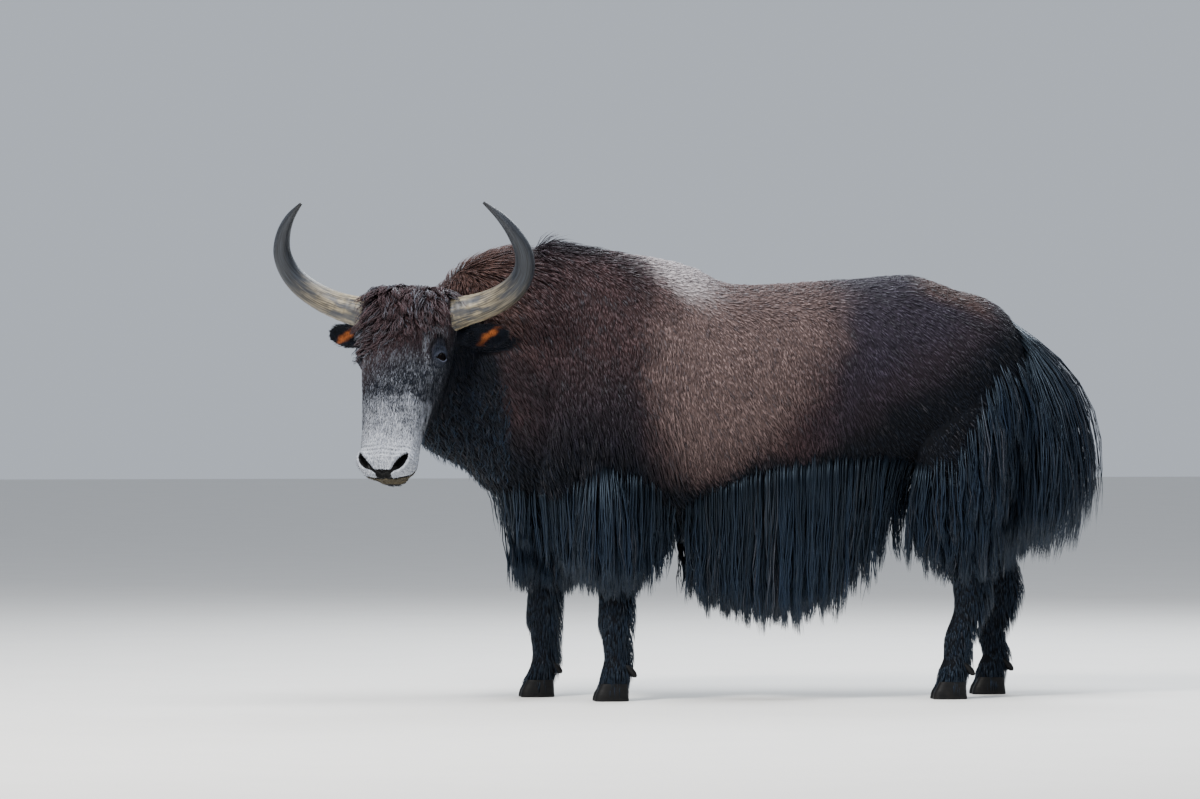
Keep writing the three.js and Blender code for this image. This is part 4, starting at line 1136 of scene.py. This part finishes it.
trunk_part = (1 - head_part) * (1 - dock_part) * (1 - shank_part)

# Body coat. Brown woolly hair over the ribs, darker and shaggier on neck and shoulders, with short close
# tufts on the rump. It grows backwards and down, in fields that follow the animal, each side on its own.
NECK_END, RIBS_FRONT, RIBS_BACK = -560, -120, 450


def trunk_lie(roots):
    x, _, z = roots.at.T
    backward = mix(0.32, 0.85, fade(420, 760, x)) + 0.25 * ripple(roots.at, 60)
    way = np.stack([backward, np.zeros_like(x), np.full_like(x, -1.0)], axis=1)
    way = mix(way, np.array([[0.75, 0.3, -1.0]]), fade(-520, -760, x)[:, None])
    return roots.flat(mix(way, np.array([[1.0, 0, -0.3]]), fade(0.55, 0.9, roots.out[:, 2])[:, None]))


def shoulder_length(roots):
    z = roots.at[:, 2]
    return mix(44, 84, fade(1100, 850, z)) + 30 * fade(1560, 1620, z)


def neck_length(roots):
    return mix(46, 96, fade(0.3, 0.8, roots.out[:, 2]))


def body_coat(name, weight, count, length, wide, thick, rise, curl, pull, spacing):
    roots = Roots(weight * trunk_part, count)
    way = trunk_lie(roots)
    long = length(roots) if callable(length) else length
    long = long * mix(0.5, 1, fade(-1060, -880, roots.at[:, 0]))
    hair(name, roots, way, way - roots.out * 0.12, roots.vary(long, 0.25), roots.vary(wide, 0.25),
         thick, 2, coat_finish, rise=roots.vary(rise, 0.4), curl=curl,
         clump=roots.clumps(spacing), pull=pull)


neck_zone = fade(NECK_END + 40, NECK_END - 40, x)
shoulder_zone = (1 - neck_zone) * fade(RIBS_FRONT + 30, RIBS_FRONT - 30, x)
rib_zone = fade(RIBS_FRONT - 30, RIBS_FRONT + 30, x) * fade(RIBS_BACK + 20, RIBS_BACK - 20, x)
rump_zone = fade(RIBS_BACK - 20, RIBS_BACK + 20, x)
# Each field: its name and place, tufts, length, width, thickness, lift, curl, gathering and clump size.
FIELDS = [
    ("neck", neck_zone, 6500, neck_length, 6.8, 2.3, 0.55, 4, 0.3, 26),
    ("shoulder", shoulder_zone, 8800, shoulder_length, 6.8, 2.3, 0.5, 4, 0.3, 30),
    ("ribs", rib_zone, 8600, 34, 6.4, 2.5, 0.7, 5, 0.35, 17),
    ("rump", rump_zone, 7600, 38, 6.2, 2.1, 0.44, 1.5, 0.2, 34),
]
for side, sign in (("left", -1), ("right", 1)):
    half = (y * sign > 0).astype(float)
    for field, zone, *look in FIELDS:
        body_coat(f"coat_{field}_{side}", zone * half, *look)

# Belly, throat and breast. Long black hair that hangs straight down from the underside of the body, the
# neck and the brisket, in loose strands that gather towards their tips.
LONG_HAIR_MARKED_BELOW = 260
BREAST_TIPS = [(-760, 580), (-680, 470), (-560, 430)]


def hanging(name, weight, count, tips, wide, thick, steps, spacing, out_share, spread=70.0,
            curl=9.0, waves=1.2, pull=0.55, lean=(0, 0, 0), nodes=()):
    roots = Roots(weight, count)
    clump = roots.clumps(spacing)
    uneven = chance.random(clump.max() + 1)[clump] * spread + chance.random(count) * spread * 0.5
    long = np.maximum(roots.at[:, 2] - tips(roots.at) - uneven, 40)
    way = roots.flat(np.asarray(lean) - UP)
    apart = roots.out * [1, 1, 0]
    fall = np.asarray(lean) * 0.3 - UP - apart * 0.05
    hair(name, roots, unit(way + apart * out_share), fall, long, roots.vary(wide, 0.3), thick, steps,
         long_finish, curl=roots.vary(curl, 0.6), waves=waves, clump=clump, pull=pull,
         nodes=nodes, marked_below=LONG_HAIR_MARKED_BELOW)


belly = trunk_part * fade(0.1, -0.5, middle_out[:, 2])
belly *= (np.abs(y) < 210) * within(x, -250, 700) * (z < 900)
throat = trunk_part * (x < -700) * fade(0.25, -0.3, middle_out[:, 2]) * (z < 1150) * (head_down < 430)
breast = trunk_part * within(x, -780, -500) * fade(790, 720, z) * (np.abs(y) < 270)
hanging("coat_belly", belly, 1000, lambda at: at[:, 2] - 210,
        wide=10, thick=3, steps=4, spacing=60, out_share=0.1)
hanging("coat_throat", throat, 1300, lambda at: at[:, 2] - 62,
        wide=6, thick=2.4, steps=3, spacing=36, out_share=0.12, spread=36)
hanging("coat_breast", breast, 1000, lambda at: read_off(BREAST_TIPS, at[:, 0]),
        wide=7.5, thick=2.6, steps=5, spacing=46, out_share=0.1)

# Skirt. Long straight black hair, rooted in a band along the lower ribs, that falls past the belly to below
# the knees. Its locks part and wave a little towards their loose ends.
SKIRT_AT = [-60, 20, 120, 180, 300, 460, 585, 680, 770]
SKIRT_ROOT = [725, 768, 812, 836, 862, 876, 878, 868, 850]
SKIRT_TIP = [282, 244, 210, 204, 202, 224, 304, 402, 422]
for side, sign in (("left", -1), ("right", 1)):
    zone = trunk_part * (y * sign > 140) * fade(-95, -50, x) * fade(800, 750, x)
    zone *= fade(12, -24, z - np.interp(x, SKIRT_AT, SKIRT_ROOT))
    hanging(f"skirt_{side}_hair", zone, 2600, lambda at: np.interp(at[:, 0], SKIRT_AT, SKIRT_TIP),
            wide=7.6, thick=2.7, steps=6, spacing=54, out_share=0.16, curl=16, waves=1.7, pull=0.68,
            nodes=[f"skirt_{side}"])

# Leg hair. Fans of long hair on the upper legs hide the elbows and thighs; the shanks carry short hair,
# with a fringe over the claws.
FAN_ROOT = [(-270, 690), (-200, 760), (-110, 820), (-21, 862), (120, 820), (207, 710)]
FAN_TIP = [(-260, 450), (-180, 380), (-60, 330), (90, 325), (210, 400)]
THIGH_FRONT = [(430, 640), (640, 650), (840, 680), (872, 880), (1160, 1015)]
LONGEST_ON_THIGH = 370
THIGH_TIP = [(660, 430), (780, 390), (920, 360), (1020, 380), (1200, 430)]
for name, sign, foot in (("fore_left", -1, -335), ("fore_right", 1, -550)):
    zone = trunk_part * (y * sign > 90) * within(x - foot, -262, 212)
    zone *= fade(14, -26, z - read_off(FAN_ROOT, x - foot))
    hanging(f"fan_{name}", zone, 1550, lambda at: read_off(FAN_TIP, at[:, 0] - foot),
            wide=7.5, thick=2.7, steps=5, spacing=46, out_share=0.34, spread=64, curl=13, waves=1.5,
            pull=0.62)
for name, sign in (("hind_left", -1), ("hind_right", 1)):
    zone = trunk_part * (y * sign > 4) * fade(-25, 25, x - read_off(THIGH_FRONT, z)) * fade(1250, 1120, z)
    hanging(f"thigh_{name}", zone, 1800,
            lambda at: np.maximum(read_off(THIGH_TIP, at[:, 0]), at[:, 2] - LONGEST_ON_THIGH),
            wide=7.5, thick=2.7, steps=5, spacing=50, out_share=0.14, spread=84, curl=14, waves=1.6,
            pull=0.65)
for name, hoof in HOOFS.items():
    sign = -1 if name.endswith("left") else 1
    zone = (np.abs(x - hoof - 30) < 190) & (y * sign > 60) & within(z, 28, 560)
    roots = Roots(zone.astype(float), 2400)
    low = fade(150, 70, roots.at[:, 2])
    feather = fade(-0.1, 0.8, roots.out[:, 0]) * fade(110, 190, roots.at[:, 2])
    long = mix(29, 60, low) + 40 * feather
    rise = 0.24 + 0.4 * feather + 0.12 * low
    hair(f"shank_{name}", roots, roots.flat(-UP), -UP, roots.vary(long, 0.3), roots.vary(4.6, 0.3), 2, 2,
         long_finish, rise=rise, clump=roots.clumps(16), pull=0.25, sink=1.5)

# Tail. A full brush of long black hair, which grows from all round the dock and hangs to the hocks. Its
# locks are wider than the skirt's, and lean a little in towards the legs.
TAIL_TIP = 400.0
hanging("tail_hair", dock_part, 1800, lambda at: np.full(len(at), TAIL_TIP),
        wide=8.6, thick=3, steps=7, spacing=60, out_share=0.1, spread=95, curl=16, waves=1.8,
        lean=(-0.28, 0, 0), nodes=["tail"])

# Face and ears. The face hair is short and lies down the nose and back over the cheeks; between the horns
# it turns into a long, dark, wavy forelock. The ears are fringed at their edges.
lids = from_eyes(smooth_middles) < 29
bare_part = markings(smooth_middles)["bare"]
open_face = face_part * (1 - lids) * (bare_part < 0.35) * (head_down > -70)
roots = Roots(open_face * np.interp(head_down, [-70, 200, 420, 640], [0.6, 1, 1.1, 1.3]), 17500)
left, out, down = head_axes(roots.at)
back_share = fade(30, -60, out) * fade(600, 480, down)
way = mix(FACE_DOWN[None], (FACE_DOWN * 0.55 - FACE_OUT * 0.6 - UP * 0.2)[None], back_share[:, None])
jaw = fade(-60, -150, out)
long = np.interp(down, [0, 180, 420, 560, 640], [30, 24, 18, 10, 7]) * (1 + 0.8 * jaw)
long *= mix(0.3, 1, fade(28, 85, from_eyes(roots.marked)))
ruffled = roots.flat(way + HEAD_LEFT * 0.2 * ripple(roots.at, 14)[:, None])
wide = np.interp(long, [6, 40], [2.2, 4.6])
hair("face_hair_tufts", roots, ruffled, way, roots.vary(long, 0.35), roots.vary(wide, 0.3), 1.2, 2,
     coat_finish, rise=0.24 + 0.12 * jaw, clump=roots.clumps(9), pull=0.3, sink=0.8)
crown = face_part * fade(185, 105, head_down + 0.45 * head_left) * fade(20, 60, head_out)
roots = Roots(crown * fade(152, 120, np.abs(head_left)) + face_part * (head_down < -25), 2800)
left, out, down = head_axes(roots.at)
swirl = HEAD_LEFT * (left / 200 + 0.9 * ripple(roots.at, 26))[:, None]
long = np.interp(down, [-90, -20, 90, 170], [66, 80, 66, 40])
tousled = roots.clumps(34)
uneven = 0.7 + 0.7 * chance.random(tousled.max() + 1)[tousled]
upright = (0.7 + 0.5 * fade(20, -40, down)) * uneven
hair("forelock", roots, roots.flat(FACE_DOWN + swirl), FACE_DOWN + swirl * 0.8,
     roots.vary(long * uneven, 0.2), roots.vary(6, 0.3), 2.4, 4, coat_finish,
     rise=roots.vary(upright, 0.4), curl=roots.vary(9, 0.6), clump=tousled, pull=0.66)
for side, label in ((1, "left"), (-1, "right")):
    roots = Roots(ear_part * head_part * (head_left * side > 0), 1600)
    _, line, _, across = ear_frames[side]
    over = ear_axes(roots.at, side)[2]
    rim = fade(24, 34, np.abs(over))
    way = line + across * (np.sign(over) * 0.3 * rim)[:, None]
    hair(f"ear_{label}_hair", roots, roots.flat(way), way, roots.vary(mix(11, 20, rim), 0.3),
         roots.vary(2.8, 0.3), 1.2, 2, coat_finish, rise=0.25 + 0.1 * rim,
         clump=roots.clumps(12), pull=0.2, sink=1, nodes=[f"ear_{label}"])

# Floor, light and camera. A pale floor under wide soft lights, seen from the animal's left side at the
# height of its shoulder.
floor_mesh = bpy.data.meshes.new("floor")
floor_mesh.from_pydata([(-40, -40, 0), (40, -40, 0), (40, 40, 0), (-40, 40, 0)], [], [(0, 1, 2, 3)])
floor = bpy.data.objects.new("floor", floor_mesh)
bpy.context.scene.collection.objects.link(floor)
floor_finish = Finish("pale floor")
grit = floor_finish.noise(3, 4, at=floor_finish.spot())
pale = floor_finish.blend(grit, shade(216, 214, 210), shade(224, 222, 218))
floor_mesh.materials.append(floor_finish.set(Base_Color=pale, Roughness=0.8))

world = bpy.data.worlds.new("soft studio")
world.use_nodes = True
world.node_tree.nodes["Background"].inputs["Color"].default_value = shade(214, 222, 234)
world.node_tree.nodes["Background"].inputs["Strength"].default_value = 0.75
bpy.context.scene.world = world
for name, place, size, power, colour in [
    ("key", (-4.5, -5, 6.5), 1.8, 1100, (1, 0.97, 0.93)),
    ("back", (2.5, 5, 5.5), 4, 600, (0.88, 0.94, 1)),
    ("top", (0.5, -1, 7), 4, 700, (0.94, 0.97, 1)),
]:
    lamp = bpy.data.lights.new(name, "AREA")
    lamp.size, lamp.energy, lamp.color = size, power, colour
    light = bpy.data.objects.new(name, lamp)
    light.location = place
    light.rotation_euler = (Vector((0, 0, 0.8)) - Vector(place)).to_track_quat("-Z", "Y").to_euler()
    bpy.context.scene.collection.objects.link(light)

VIEW_RIGHT, VIEW_AHEAD = np.array([0.99027, -0.13917, 0]), np.array([0.13917, 0.99027, 0])
stand = Vector(placed(-25000 * VIEW_AHEAD + np.array([0, 0, 1270])))
aim = Vector(placed(-356 * VIEW_RIGHT + np.array([0, 0, 1062.7])))
camera = bpy.data.objects.new("camera", bpy.data.cameras.new("camera"))
camera.data.lens, camera.data.sensor_width = 210.7, 36
camera.location = stand
camera.rotation_euler = (aim - stand).to_track_quat("-Z", "Y").to_euler()
bpy.context.scene.collection.objects.link(camera)
bpy.context.scene.camera = camera
